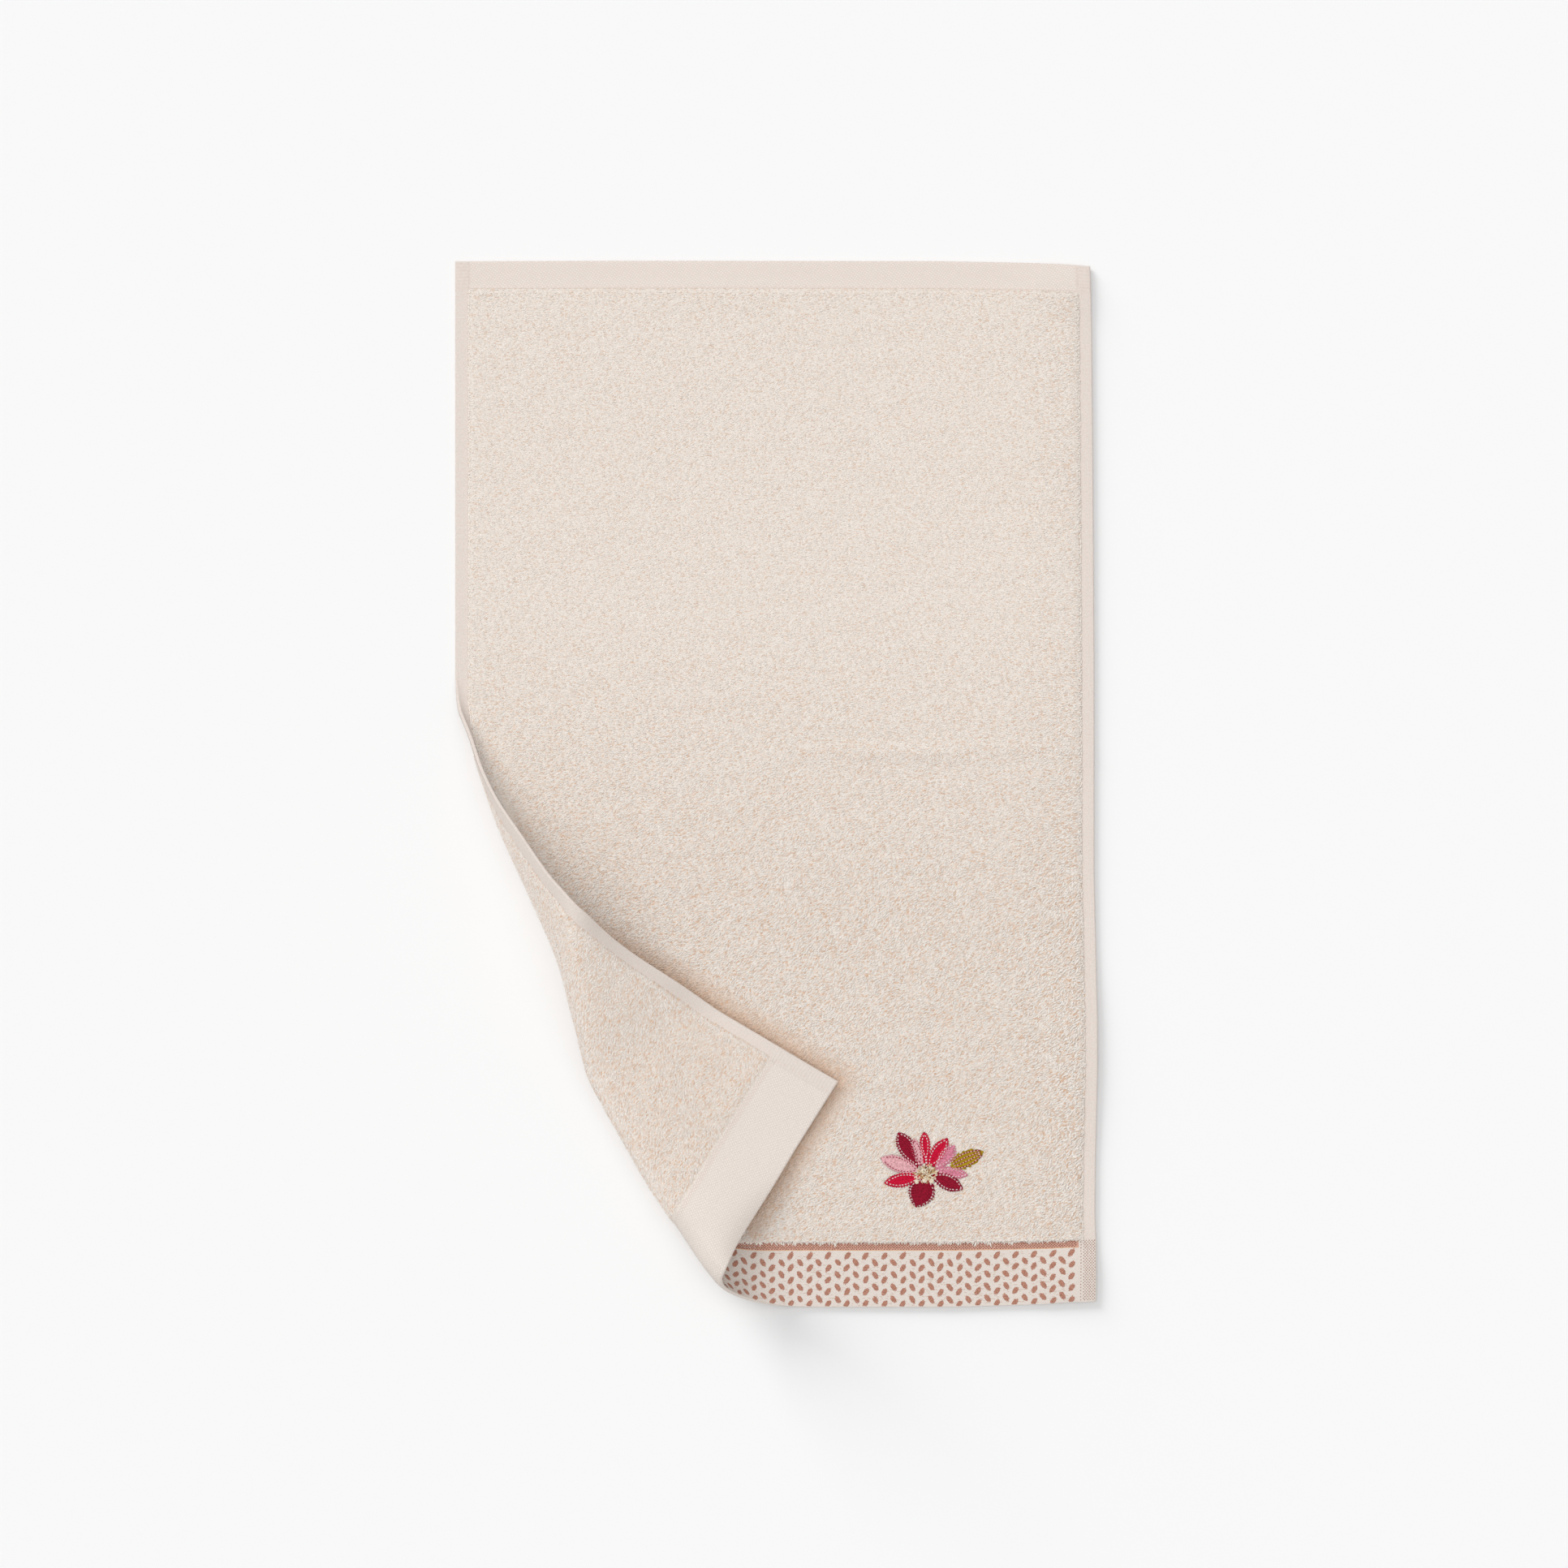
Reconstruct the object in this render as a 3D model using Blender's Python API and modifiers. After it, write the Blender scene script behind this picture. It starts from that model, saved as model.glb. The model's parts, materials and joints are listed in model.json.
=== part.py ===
"""Small cotton terry hand towel, laid flat with its lower left corner turned back over the front.

The towel is one woven piece: a terry field, narrow side hems, a top hem and a flat woven band
along the bottom. It is modelled as one sheet of cloth. The sheet is drawn flat, in cloth
coordinates u (across, from the left edge) and v (up, from the bottom edge), and each of its
points is then carried to the place where it lies when the corner is turned back.

Metres, +Z up. The origin is on the surface that the towel lies on, under the cloth's middle.
"""

import math

import bmesh
import bpy
import numpy as np

MM = 0.001

# --- The cloth, flat -------------------------------------------------------------------------
WIDTH = 302 * MM
LENGTH = 496 * MM
SIDE_HEM = 6.5 * MM
TOP_HEM = 13.5 * MM
BAND_FRONT = 31.0 * MM       # woven band on the front, from the bottom edge to the first loops
BAND_BACK = 35.5 * MM        # the same band's turned hem on the back

PILE_THICKNESS = 3.6 * MM    # ground weave with loops on both sides
BACKED_THICKNESS = 2.8 * MM  # strip above the band: loops on the front, flat hem on the back
BAND_THICKNESS = 1.9 * MM
HEM_THICKNESS = 2.0 * MM

# The outline isn't quite a rectangle: each edge wanders in the cloth's plane.
# v, then how far the right edge lies outside the nominal one (mm)
RIGHT_EDGE = (
    (0, 1.7), (28, 1.9), (43, 1.3), (74, 1.6), (113, 2.4), (135, 2.4), (174, 1.6),
    (205, 0.9), (300, 0.9), (370, 0.5), (420, 0.1), (466, -0.3), (496, -1.1),
)
# u, then how far the bottom edge lies inside the nominal one (mm)
BOTTOM_EDGE = ((0, 0.0), (235, 0.0), (262, 0.8), (279, 1.5), (288, 2.3), (302, 2.7))
# u, then how far the top edge lies inside the nominal one (mm)
TOP_EDGE = ((0, 0.3), (75, 0.0), (230, 0.2), (265, 0.8), (281, 1.3), (292, 1.8), (302, 2.6))
EDGE_REACH = 60 * MM         # how far in from an edge its wandering dies out

# --- The turned-back corner ------------------------------------------------------------------
# Fold coordinates: s runs up along the fold line, q across it towards the cloth's middle.
FOLD_ORIGIN = (-30 * MM, -248 * MM)
FOLD_LEAN = math.radians(29.3)    # the fold line leans this far to the left of +Y
REST_LIFT = 6.5 * MM              # the flap lies this far above the layer under it

# One row for each cross-section of the roll, from the bottom edge to the left edge (mm).
# foot: where the cloth leaves the surface; belly: the roll's outermost line; ridge: the line
# over which it turns onto the flap; land: where the flap has come down to rest; slip: how far
# the flap has slid up along the fold.
ROLL_SECTIONS = (
    # s,  foot, belly_q, belly_z, ridge_q, ridge_z, land, slip
    (-25, 44.0, 28.0, 8.0, 20.0, 12.0, 55, 0.0),
    (5, 33.0, 10.0, 20.0, 15.0, 27.0, 40, 8.0),
    (35, 33.0, 6.5, 12.5, 12.5, 21.0, 80, 6.0),
    (70, 30.5, 4.0, 8.5, 7.5, 14.0, 62, 4.5),
    (115, 25.0, 4.0, 9.0, 8.5, 14.5, 75, 2.5),
    (148, 23.5, 11.5, 11.5, 15.5, 26.0, 98, 1.0),
    (180, 25.0, 19.0, 6.5, 29.0, 39.0, 90, 0.0),
    (210, 27.0, 22.0, 5.5, 46.0, 47.0, 96, -0.5),
    (245, 31.5, 25.0, 8.5, 39.5, 34.0, 92, -0.5),
    (275, 35.5, 30.0, 7.0, 37.5, 29.0, 90, -0.5),
    (296, 39.5, 34.0, 5.0, 38.0, 21.0, 90, -0.8),
    (318, 43.0, 36.0, 6.5, 38.0, 20.0, 90, -1.0),
)
RIDGE_CRISPNESS = 0.7             # under 1 the ridge turns more sharply than the other bends
SLIP_REACH = 1.3                  # slip is complete this many foot-to-belly lengths up the roll
SECTION_STEPS = 14                # straight steps that measure each of a section's three bends

# Soft swells in the lying cloth: centre u and v, half widths in u and v, height (mm)
SWELLS = (
    # u,  v, half_u, half_v, height
    (225, 262, 90, 5, 0.5),       # faint crease across the middle, from having been folded up
    (296, 122, 16, 40, 1.1),
    (292, 12, 22, 16, 1.2),
    (290, 484, 24, 14, 0.9),
    (120, 482, 45, 12, 0.5),
    (150, 14, 10, 26, 0.9),       # small wrinkle in the band beside the roll
)

# --- The grid that the sheet is drawn on -------------------------------------------------------
FINE_U = 4.2 * MM                 # cell size where the cloth is folded, so proportioned
FINE_V = FINE_U / math.tan(FOLD_LEAN)    # that the cells' diagonals run along the fold
COARSE = 22.0 * MM                # cell size where it lies flat
FOLDED_U = 165 * MM               # the folded part's extent
FOLDED_V = 325 * MM
HEM_SLOPE = 1.5 * MM              # width over which the thickness changes beside a hem

TERRY_COLOUR = (0.80, 0.70, 0.62, 1.0)
TERRY_ROUGHNESS = 0.95


def lines_between(start, end, step):
    """Evenly spaced grid lines from start up to, but not including, end."""
    count = max(1, round((end - start) / step))
    return [start + (end - start) * i / count for i in range(count)]


def column_lines():
    """Grid lines across the cloth, closer together where it is folded."""
    return (
        [0.0]
        + lines_between(SIDE_HEM, FOLDED_U, FINE_U)
        + lines_between(FOLDED_U, WIDTH - SIDE_HEM - HEM_SLOPE, COARSE)
        + [WIDTH - SIDE_HEM - HEM_SLOPE, WIDTH - SIDE_HEM, WIDTH]
    )


def row_lines():
    """Grid lines up the cloth, closer together where it is folded."""
    return (
        lines_between(0.0, BAND_FRONT, FINE_V)
        + [BAND_FRONT, BAND_BACK]
        + lines_between(BAND_BACK + HEM_SLOPE, FOLDED_V, FINE_V)
        + lines_between(FOLDED_V, LENGTH - TOP_HEM - HEM_SLOPE, COARSE)
        + [LENGTH - TOP_HEM - HEM_SLOPE, LENGTH - TOP_HEM, LENGTH]
    )


def thickness_at(u, v):
    """Thickness of the cloth: thin hems and band, full pile in the field."""
    across = np.interp(
        u,
        (SIDE_HEM, SIDE_HEM + HEM_SLOPE, WIDTH - SIDE_HEM - HEM_SLOPE, WIDTH - SIDE_HEM),
        (HEM_THICKNESS, PILE_THICKNESS, PILE_THICKNESS, HEM_THICKNESS),
    )
    along = np.interp(
        v,
        (BAND_FRONT, BAND_BACK, BAND_BACK + HEM_SLOPE, LENGTH - TOP_HEM - HEM_SLOPE,
         LENGTH - TOP_HEM),
        (BAND_THICKNESS, BACKED_THICKNESS, PILE_THICKNESS, PILE_THICKNESS, HEM_THICKNESS),
    )
    return np.minimum(across, along)


def edge_offset(table, along):
    """How far an edge wanders, in metres, at a distance along it in metres."""
    places, offsets = zip(*table)
    return np.interp(along, np.array(places) * MM, np.array(offsets) * MM)


def near_edge(distance):
    """1 at an edge, falling smoothly to 0 at EDGE_REACH from it."""
    t = np.clip(1.0 - distance / EDGE_REACH, 0.0, 1.0)
    return t * t * (3.0 - 2.0 * t)


def flat_position(u, v):
    """Place of a cloth point on the surface before the corner is turned back."""
    x = u - WIDTH / 2 + edge_offset(RIGHT_EDGE, v) * near_edge(WIDTH - u)
    y = (
        v - LENGTH / 2
        + edge_offset(BOTTOM_EDGE, u) * near_edge(v)
        - edge_offset(TOP_EDGE, u) * near_edge(LENGTH - v)
    )
    return x, y


def swell_height(u, v):
    """Lift of the lying cloth by its soft swells."""
    lift = np.zeros_like(u)
    for centre_u, centre_v, half_u, half_v, height in SWELLS:
        away = ((u / MM - centre_u) / half_u) ** 2 + ((v / MM - centre_v) / half_v) ** 2
        lift += height * MM * np.clip(1.0 - away / 2, 0.0, None) ** 2
    return lift


def section_rows(s):
    """The roll's section at each s: smooth, overshoot-free interpolation of ROLL_SECTIONS."""
    table = np.array(ROLL_SECTIONS) * MM
    places, values = table[:, 0], table[:, 1:]
    span = np.diff(places)[:, None]
    slope = np.diff(values, axis=0) / span
    tangent = np.vstack([slope[:1], np.zeros_like(slope[1:]), slope[-1:]])
    product = slope[:-1] * slope[1:]
    total = np.where(product > 0, slope[:-1] + slope[1:], 1.0)
    tangent[1:-1] = np.where(product > 0, 2 * product / total, 0.0)
    row = np.clip(np.searchsorted(places, s) - 1, 0, len(places) - 2)
    t = np.clip((s - places[row]) / (places[row + 1] - places[row]), 0.0, 1.0)[:, None]
    return hermite(values[row], tangent[row] * span[row], values[row + 1],
                   tangent[row + 1] * span[row], t)


def hermite(start, start_tangent, end, end_tangent, t):
    """Cubic that leaves start and reaches end with the given tangents."""
    return (
        start * (2 * t**3 - 3 * t**2 + 1)
        + start_tangent * (t**3 - 2 * t**2 + t)
        + end * (3 * t**2 - 2 * t**3)
        + end_tangent * (t**3 - t**2)
    )


def unit(vectors):
    """Vectors scaled to length 1."""
    return vectors / np.linalg.norm(vectors, axis=1, keepdims=True)


def section_curves(rows):
    """Each section of the roll as a run of points (q, z), from its foot to where it lands."""
    foot, belly_q, belly_z, ridge_q, ridge_z, land = rows.T
    land = np.maximum(land, ridge_q + 3 * MM)
    knots = [
        np.stack([foot, np.zeros_like(foot)], 1),
        np.stack([belly_q, belly_z], 1),
        np.stack([ridge_q, ridge_z], 1),
        np.stack([land, np.full_like(foot, REST_LIFT)], 1),
    ]
    chords = [np.linalg.norm(knots[i + 1] - knots[i], axis=1, keepdims=True) for i in range(3)]
    over_ridge = unit(unit(knots[3] - knots[2]) + unit(knots[2] - knots[1]))
    heading = [np.array([[-1.0, 0.0]]), np.array([[0.0, 1.0]]), over_ridge,
               np.array([[1.0, 0.0]])]
    leave = (1.0, 1.0, RIDGE_CRISPNESS)
    reach = (1.0, RIDGE_CRISPNESS, 1.0)
    t = np.linspace(0.0, 1.0, SECTION_STEPS + 1)[None, :, None]
    runs = []
    for i in range(3):
        start_tangent = (heading[i] * chords[i] * leave[i])[:, None]
        end_tangent = (heading[i + 1] * chords[i] * reach[i])[:, None]
        run = hermite(knots[i][:, None], start_tangent, knots[i + 1][:, None], end_tangent, t)
        runs.append(run if i == 0 else run[:, 1:])
    return np.concatenate(runs, axis=1)


def turn_corner(x, y):
    """Carry flat points round the roll: their x, y and height above the surface."""
    dx, dy = x - FOLD_ORIGIN[0], y - FOLD_ORIGIN[1]
    sine, cosine = math.sin(FOLD_LEAN), math.cos(FOLD_LEAN)
    s = dy * cosine - dx * sine
    q = dx * cosine + dy * sine

    rows = section_rows(s)
    curve = section_curves(rows[:, :-1])
    steps = np.linalg.norm(np.diff(curve, axis=1), axis=2)
    travelled = np.concatenate([np.zeros((len(s), 1)), np.cumsum(steps, axis=1)], axis=1)
    arc = rows[:, 0] - q                      # cloth between the foot and this point
    each = np.arange(len(s))
    k = np.clip((travelled <= arc[:, None]).sum(1) - 1, 0, steps.shape[1] - 1)
    part = (arc - travelled[each, k]) / steps[each, k]
    place = curve[each, k] + (curve[each, k + 1] - curve[each, k]) * part[:, None]

    landed = arc > travelled[:, -1]
    place[landed, 0] = curve[landed, -1, 0] + (arc - travelled[:, -1])[landed]
    place[landed, 1] = REST_LIFT
    lying = arc <= 0
    place[lying, 0] = q[lying]
    place[lying, 1] = 0.0

    t = np.clip(arc / (travelled[:, SECTION_STEPS] * SLIP_REACH), 0.0, 1.0)
    s = s + rows[:, -1] * np.where(lying, 0.0, t * t * (3 - 2 * t))
    new_x = FOLD_ORIGIN[0] - s * sine + place[:, 0] * cosine
    new_y = FOLD_ORIGIN[1] + s * cosine + place[:, 0] * sine
    return new_x, new_y, place[:, 1]


def lying_position(u, v):
    """Where the middle of the cloth's thickness lies, for arrays of cloth points."""
    x, y, z = turn_corner(*flat_position(u, v))
    return np.stack([x, y, z + swell_height(u, v) + thickness_at(u, v) / 2], axis=1)


def terry_material():
    """Cream cotton terry."""
    material = bpy.data.materials.new("cream terry")
    material.use_nodes = True
    shader = material.node_tree.nodes["Principled BSDF"]
    shader.inputs["Base Color"].default_value = TERRY_COLOUR
    shader.inputs["Roughness"].default_value = TERRY_ROUGHNESS
    shader.inputs["Metallic"].default_value = 0.0
    return material


def build_towel(collection):
    """The towel: a grid carried to where the cloth lies, thickened by its local thickness."""
    columns, rows = np.array(column_lines()), np.array(row_lines())
    mesh = bpy.data.meshes.new("towel")
    bm = bmesh.new()
    bmesh.ops.create_grid(bm, x_segments=len(columns) - 1, y_segments=len(rows) - 1, size=0.5)
    bmesh.ops.triangulate(bm, faces=bm.faces, quad_method="ALTERNATE")
    grid = np.array([vert.co[:2] for vert in bm.verts]) + 0.5
    u = columns[np.rint(grid[:, 0] * (len(columns) - 1)).astype(int)]
    v = rows[np.rint(grid[:, 1] * (len(rows) - 1)).astype(int)]
    for vert, place in zip(bm.verts, lying_position(u, v)):
        vert.co = place
    bm.to_mesh(mesh)
    bm.free()

    towel = bpy.data.objects.new("towel", mesh)
    collection.objects.link(towel)
    mesh.materials.append(terry_material())
    mesh.shade_smooth()

    group = towel.vertex_groups.new(name="thickness")
    for index, thickness in enumerate(thickness_at(u, v)):
        group.add([index], float(thickness / PILE_THICKNESS), "REPLACE")
    solid = towel.modifiers.new("Solidify", "SOLIDIFY")
    solid.thickness = PILE_THICKNESS
    solid.offset = 0.0
    solid.vertex_group = "thickness"
    return towel


def main():
    for item in list(bpy.data.objects):
        bpy.data.objects.remove(item, do_unlink=True)
    collection = bpy.data.collections.new("hand towel")
    bpy.context.scene.collection.children.link(collection)
    build_towel(collection)


main()
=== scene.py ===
"""Looks of the small terry hand towel: pile, weave, sewing and embroidery round the CAD part.

Cloth coordinates, as in the part's source: u runs across from the cloth's left edge and v up from
its bottom edge. Whatever is woven or sewn into the towel is placed at a u and v and at a height
above the cloth, and is carried with the cloth round its turned-back corner. Metres, +Z up.
"""

import json
import math
from collections import namedtuple

import bpy
import numpy as np
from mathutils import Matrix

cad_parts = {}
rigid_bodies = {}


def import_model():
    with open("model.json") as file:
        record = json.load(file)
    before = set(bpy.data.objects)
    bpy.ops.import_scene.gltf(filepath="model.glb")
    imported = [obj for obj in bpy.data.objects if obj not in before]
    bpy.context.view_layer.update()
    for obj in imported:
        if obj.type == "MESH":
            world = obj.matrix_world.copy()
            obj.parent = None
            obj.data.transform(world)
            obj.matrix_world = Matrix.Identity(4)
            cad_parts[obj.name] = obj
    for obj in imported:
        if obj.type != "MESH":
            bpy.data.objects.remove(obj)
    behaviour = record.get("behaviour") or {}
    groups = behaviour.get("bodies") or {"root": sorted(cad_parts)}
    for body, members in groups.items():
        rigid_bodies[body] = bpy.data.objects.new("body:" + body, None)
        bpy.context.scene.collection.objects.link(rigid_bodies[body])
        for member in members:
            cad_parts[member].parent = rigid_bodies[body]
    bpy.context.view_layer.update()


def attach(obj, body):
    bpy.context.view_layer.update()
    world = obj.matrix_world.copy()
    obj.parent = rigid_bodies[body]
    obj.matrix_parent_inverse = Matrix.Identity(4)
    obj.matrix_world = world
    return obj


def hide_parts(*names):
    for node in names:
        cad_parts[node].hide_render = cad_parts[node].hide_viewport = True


MM = 0.001
FRONT, BACK = 1, -1
CHANCE = np.random.default_rng(7)

# --- The cloth, as in the part's source ---
WIDTH = 302 * MM
LENGTH = 496 * MM
SIDE_HEM = 6.5 * MM
TOP_HEM = 13.5 * MM
BAND_FRONT = 31.0 * MM
BAND_BACK = 35.5 * MM

PILE_THICKNESS = 3.6 * MM
BACKED_THICKNESS = 2.8 * MM
BAND_THICKNESS = 1.9 * MM
HEM_THICKNESS = 2.0 * MM
HEM_SLOPE = 1.5 * MM

FIELD_RIGHT = WIDTH - SIDE_HEM
FIELD_TOP = LENGTH - TOP_HEM
# The cloth's thickness from left to right, and from the bottom up
ACROSS = (
    (SIDE_HEM, HEM_THICKNESS),
    (SIDE_HEM + HEM_SLOPE, PILE_THICKNESS),
    (FIELD_RIGHT - HEM_SLOPE, PILE_THICKNESS),
    (FIELD_RIGHT, HEM_THICKNESS),
)
ALONG = (
    (BAND_FRONT, BAND_THICKNESS),
    (BAND_BACK, BACKED_THICKNESS),
    (BAND_BACK + HEM_SLOPE, PILE_THICKNESS),
    (FIELD_TOP - HEM_SLOPE, PILE_THICKNESS),
    (FIELD_TOP, HEM_THICKNESS),
)

# v, then how far the right edge lies outside the nominal one (mm)
RIGHT_EDGE = (
    (0, 1.7), (28, 1.9), (43, 1.3), (74, 1.6), (113, 2.4), (135, 2.4), (174, 1.6),
    (205, 0.9), (300, 0.9), (370, 0.5), (420, 0.1), (466, -0.3), (496, -1.1),
)
# u, then how far the bottom edge, and the top edge, lie inside the nominal ones (mm)
BOTTOM_EDGE = ((0, 0.0), (235, 0.0), (262, 0.8), (279, 1.5), (288, 2.3), (302, 2.7))
TOP_EDGE = ((0, 0.3), (75, 0.0), (230, 0.2), (265, 0.8), (281, 1.3), (292, 1.8), (302, 2.6))
EDGE_REACH = 60 * MM

FOLD_ORIGIN = (-30 * MM, -248 * MM)
FOLD_LEAN = math.radians(29.3)
REST_LIFT = 6.5 * MM
ROLL_SECTIONS = (
    # s,  foot, belly_q, belly_z, ridge_q, ridge_z, land, slip (mm)
    (-25, 44.0, 28.0, 8.0, 20.0, 12.0, 55, 0.0),
    (5, 33.0, 10.0, 20.0, 15.0, 27.0, 40, 8.0),
    (35, 33.0, 6.5, 12.5, 12.5, 21.0, 80, 6.0),
    (70, 30.5, 4.0, 8.5, 7.5, 14.0, 62, 4.5),
    (115, 25.0, 4.0, 9.0, 8.5, 14.5, 75, 2.5),
    (148, 23.5, 11.5, 11.5, 15.5, 26.0, 98, 1.0),
    (180, 25.0, 19.0, 6.5, 29.0, 39.0, 90, 0.0),
    (210, 27.0, 22.0, 5.5, 46.0, 47.0, 96, -0.5),
    (245, 31.5, 25.0, 8.5, 39.5, 34.0, 92, -0.5),
    (275, 35.5, 30.0, 7.0, 37.5, 29.0, 90, -0.5),
    (296, 39.5, 34.0, 5.0, 38.0, 21.0, 90, -0.8),
    (318, 43.0, 36.0, 6.5, 38.0, 20.0, 90, -1.0),
)
RIDGE_CRISPNESS = 0.7
SLIP_REACH = 1.3
SECTION_STEPS = 36
WIDEST_FOOT = 45 * MM  # no part of the roll starts further in than this

# Soft swells in the lying cloth: centre u and v, half widths in u and v, height (mm)
SWELLS = (
    (225, 262, 90, 5, 0.5),
    (296, 122, 16, 40, 1.1),
    (292, 12, 22, 16, 1.2),
    (290, 484, 24, 14, 0.9),
    (120, 482, 45, 12, 0.5),
    (150, 14, 10, 26, 0.9),
)

# --- How the cloth is drawn ---
FOLDED_U = 165 * MM  # the folded part's extent, drawn with smaller cells
FOLDED_V = 325 * MM
FINE = 2.2 * MM
COARSE = 5.0 * MM
PILE_EDGE = 0.6 * MM  # how soon the pile has its full height above the band
RIM_LINES = (0.15 * MM, 0.4 * MM, 0.9 * MM, 1.6 * MM)  # extra lines that round an edge
RIM_BLUNTNESS = 0.18  # share of the half thickness left at the very edge
LOOP_REACH = 0.55 * MM  # the loops stand this high out of the ground weave
BACK_LOOPS_FADE = 12 * MM  # how soon after the roll's foot the back has loops too
PROBE = 0.5 * MM  # how far apart the points are that give the cloth's directions
TOUCH = 1e-7  # m; grid lines as near as this are the same one
RIM_ANGLE = math.radians(60)  # edges sharper than this stay sharp
CHUNK = 20000  # so many points are carried round the roll at a time

# A short thread's ridge line: share of its length from its middle, share of its rise
FLOAT_SHAPE = ((-0.5, -0.45), (-0.19, 0.92), (0.19, 1.0), (0.5, -0.45))
LOOP_SHAPE = ((-0.5, -0.35), (0.08, 1.0), (0.5, -0.30))
SEED_SHAPE = ((-0.5, -0.3), (-0.43, 0.5), (-0.15, 1.0), (0.2, 1.0), (0.43, 0.5), (0.5, -0.3))
SIDE_LIT_SHARE = 0.84  # painted shade: a thread's sides show this much of its light colour, the rest is its foot's colour; its ridge shows it all

# --- Pile ---
LOOP_PITCH_U = 1.32 * MM
LOOP_PITCH_V = 0.66 * MM
LOOP_JITTER = (0.48, 0.32)  # of the pitch in u and in v, either way
LOOP_LENGTH = (1.7 * MM, 2.8 * MM)
LOOP_WIDTH = (0.50 * MM, 0.70 * MM)
LOOP_DEPTH = 0.30 * MM  # a loop's ridge stands this far above its sides
LOOP_RISE = (0.80, 1.02)  # of LOOP_REACH, at the towel's top and in its lower half
LOOP_HEIGHTS = (0.5, 1.3)  # of that, from the lowest loops to the highest
LOOP_BEND = 0.14 * MM
LOOP_TURN = 17  # how much the loops' directions differ, degrees
SUNK = (0.70, 1.00)  # how dark the darkest loops are painted, as shade between the loops, at the top and in the lower half
SUNK_RARITY = 2.8  # the higher, the fewer loops are dark
SUNK_DEPTH = 0.55  # how much lower the darkest ones lie
LOOP_ENDS = 0.60  # how much a loop shows of its light colour at its ends; the rest is painted shade
PILE_PIECES = 5
BACK_SHOWN = 0.93  # how much the back's loops show of their light colour where the corner lies level; the rest is painted shade
STEEP = 0.16  # where the cloth is as steep as this, they show all of it: painted light on the steep, shaded slopes
STEEP_FLATNESS = 0.4  # and there they stand this much less high
FOLD_DEPTH_U = 24 * MM  # inside the fold, loops end this far in from its side
FOLD_DEPTH_V = 60 * MM  # and this far in from its lower end
CORNER_SHADE_REACH = 12 * MM  # painted shade: so near to the turned-back corner's edge the pile and its ground take their shade colour
CORNER_SHADE_SHARE = 0.8  # this much of that painted shade colour
SEWN_MARGIN = 0.15 * MM

# Where the loops turn upwards and grow: from this v or u on, and fully from the second one
TURNED_BELOW = (290 * MM, 180 * MM)
TURNED_BESIDE_HEM = (255 * MM, 290 * MM)
COARSE_BELOW = (330 * MM, 180 * MM)
COARSE_BESIDE_HEM = (262 * MM, 287 * MM)
COARSER = (0.16, 0.12)  # how much bigger they are below, and beside the hem
TOP_LEAN, LOWER_LEAN, HEM_LEAN, BACK_LEAN = 4, 28, 14, -10  # degrees

# Which way the loops lie: waves added up, in degrees from +u
PILE_SWIRLS = (
    # wavelength mm, heading deg, phase deg, swing deg
    (190, 12, 40, 6.0),
    (96, 70, 200, 4.0),
    (37, 35, 310, 7.0),
    (15, 60, 20, 8.0),
)
# The faint line of disturbed loops across the towel
LINE_V = 262 * MM
LINE_WIDTH = 1.3 * MM
LINE_REACH = (140 * MM, 292 * MM)
LINE_FADE = 30 * MM
LINE_WAVES = ((1.6 * MM, 19 * MM), (0.8 * MM, 5.3 * MM))  # its swings, and their lengths

# How high the loops stand: waves, as a share of LOOP_REACH
PILE_CLUMPS = (
    (17, 95, 80, 0.04),
    (6.1, 140, 170, 0.08),
    (3.4, 15, 60, 0.12),
)

# --- Band ---
BAND_RIB_PITCH = 0.82 * MM
STRIPE = (27.0 * MM, 30.9 * MM)  # the brown stripe's lower and upper edge
STRIPE_RIB_WIDTH = 1.9 * MM  # its ribs overlap
STRIPE_GAP_PITCH = (1.30 * MM, 0.62 * MM)  # between the dark gaps in its weave
STRIPE_GAP_SIZE = (0.80 * MM, 0.50 * MM)
STRIPE_LEAN = math.radians(-42)
SEED_PITCH_U = 8.87 * MM
SEED_FIRST_U = 221.1 * MM  # a column of right-leaning seeds
SEED_ROWS_RIGHT = (24.4, 18.7, 13.0, 7.3, 1.5)  # v in mm
SEED_ROWS_LEFT = (21.2, 15.4, 9.6, 3.7)
SEED_LENGTH = 4.7 * MM
SEED_WIDTH = 2.15 * MM
SEED_LEAN = 34  # degrees from the vertical
SEED_FLOATS = 6
SEED_LOWEST = 0.45 * MM  # the lowest seeds are cut off by the edge
FLECKS = 1300

BAND_RIGHT = 293.6 * MM  # where the ribs, stripe and seeds end beside the selvage
# The selvage's small brown stitches: from and to this u, apart in u and in v, and up to this v
SELVAGE = (296.0 * MM, 301.5 * MM)
DOT_PITCH = (0.64 * MM, 1.50 * MM)
DOT_SIZE = (0.82 * MM, 0.46 * MM)
SELVAGE_TOP = 31.0 * MM
LONE_COLUMN = 294.7 * MM

OVERHANG_PITCH = 0.42 * MM
TUFT_GAPS = (4 * MM, 17 * MM)  # between the longer tufts that hang over the stripe
TUFT_WIDTH = 1.0 * MM
FRINGE_BEND = 0.2 * MM
TUFTS_SHOWN = 0.92  # how much they show of their light colour; the rest is painted shade

RIB_POINT = 0.2 * MM  # a rib narrows to its point over this length
RIB_WOBBLE = 0.05  # of a rib's width
HEM_RIB, END_RIB = (0.06 * MM, 0.62 * MM), (0.20 * MM, 1.15 * MM)  # height and width
HEM_RIB_PITCH = 0.66 * MM
END_RIB_PITCH = 1.6 * MM
BACK_END = 7.6 * MM  # ribbed end of the band's back
BACK_SHOWN_U = 165 * MM  # the back is sewn and woven in detail this far
BACK_SHOWN_V = 300 * MM
TWILL_STEP = (1.446 * MM, 0.348 * MM)  # from one float to the next in its row
TWILL_NEXT = (0.821 * MM, -0.690 * MM)  # and to one in the row below
STITCH_PITCH = 2.6 * MM

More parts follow.
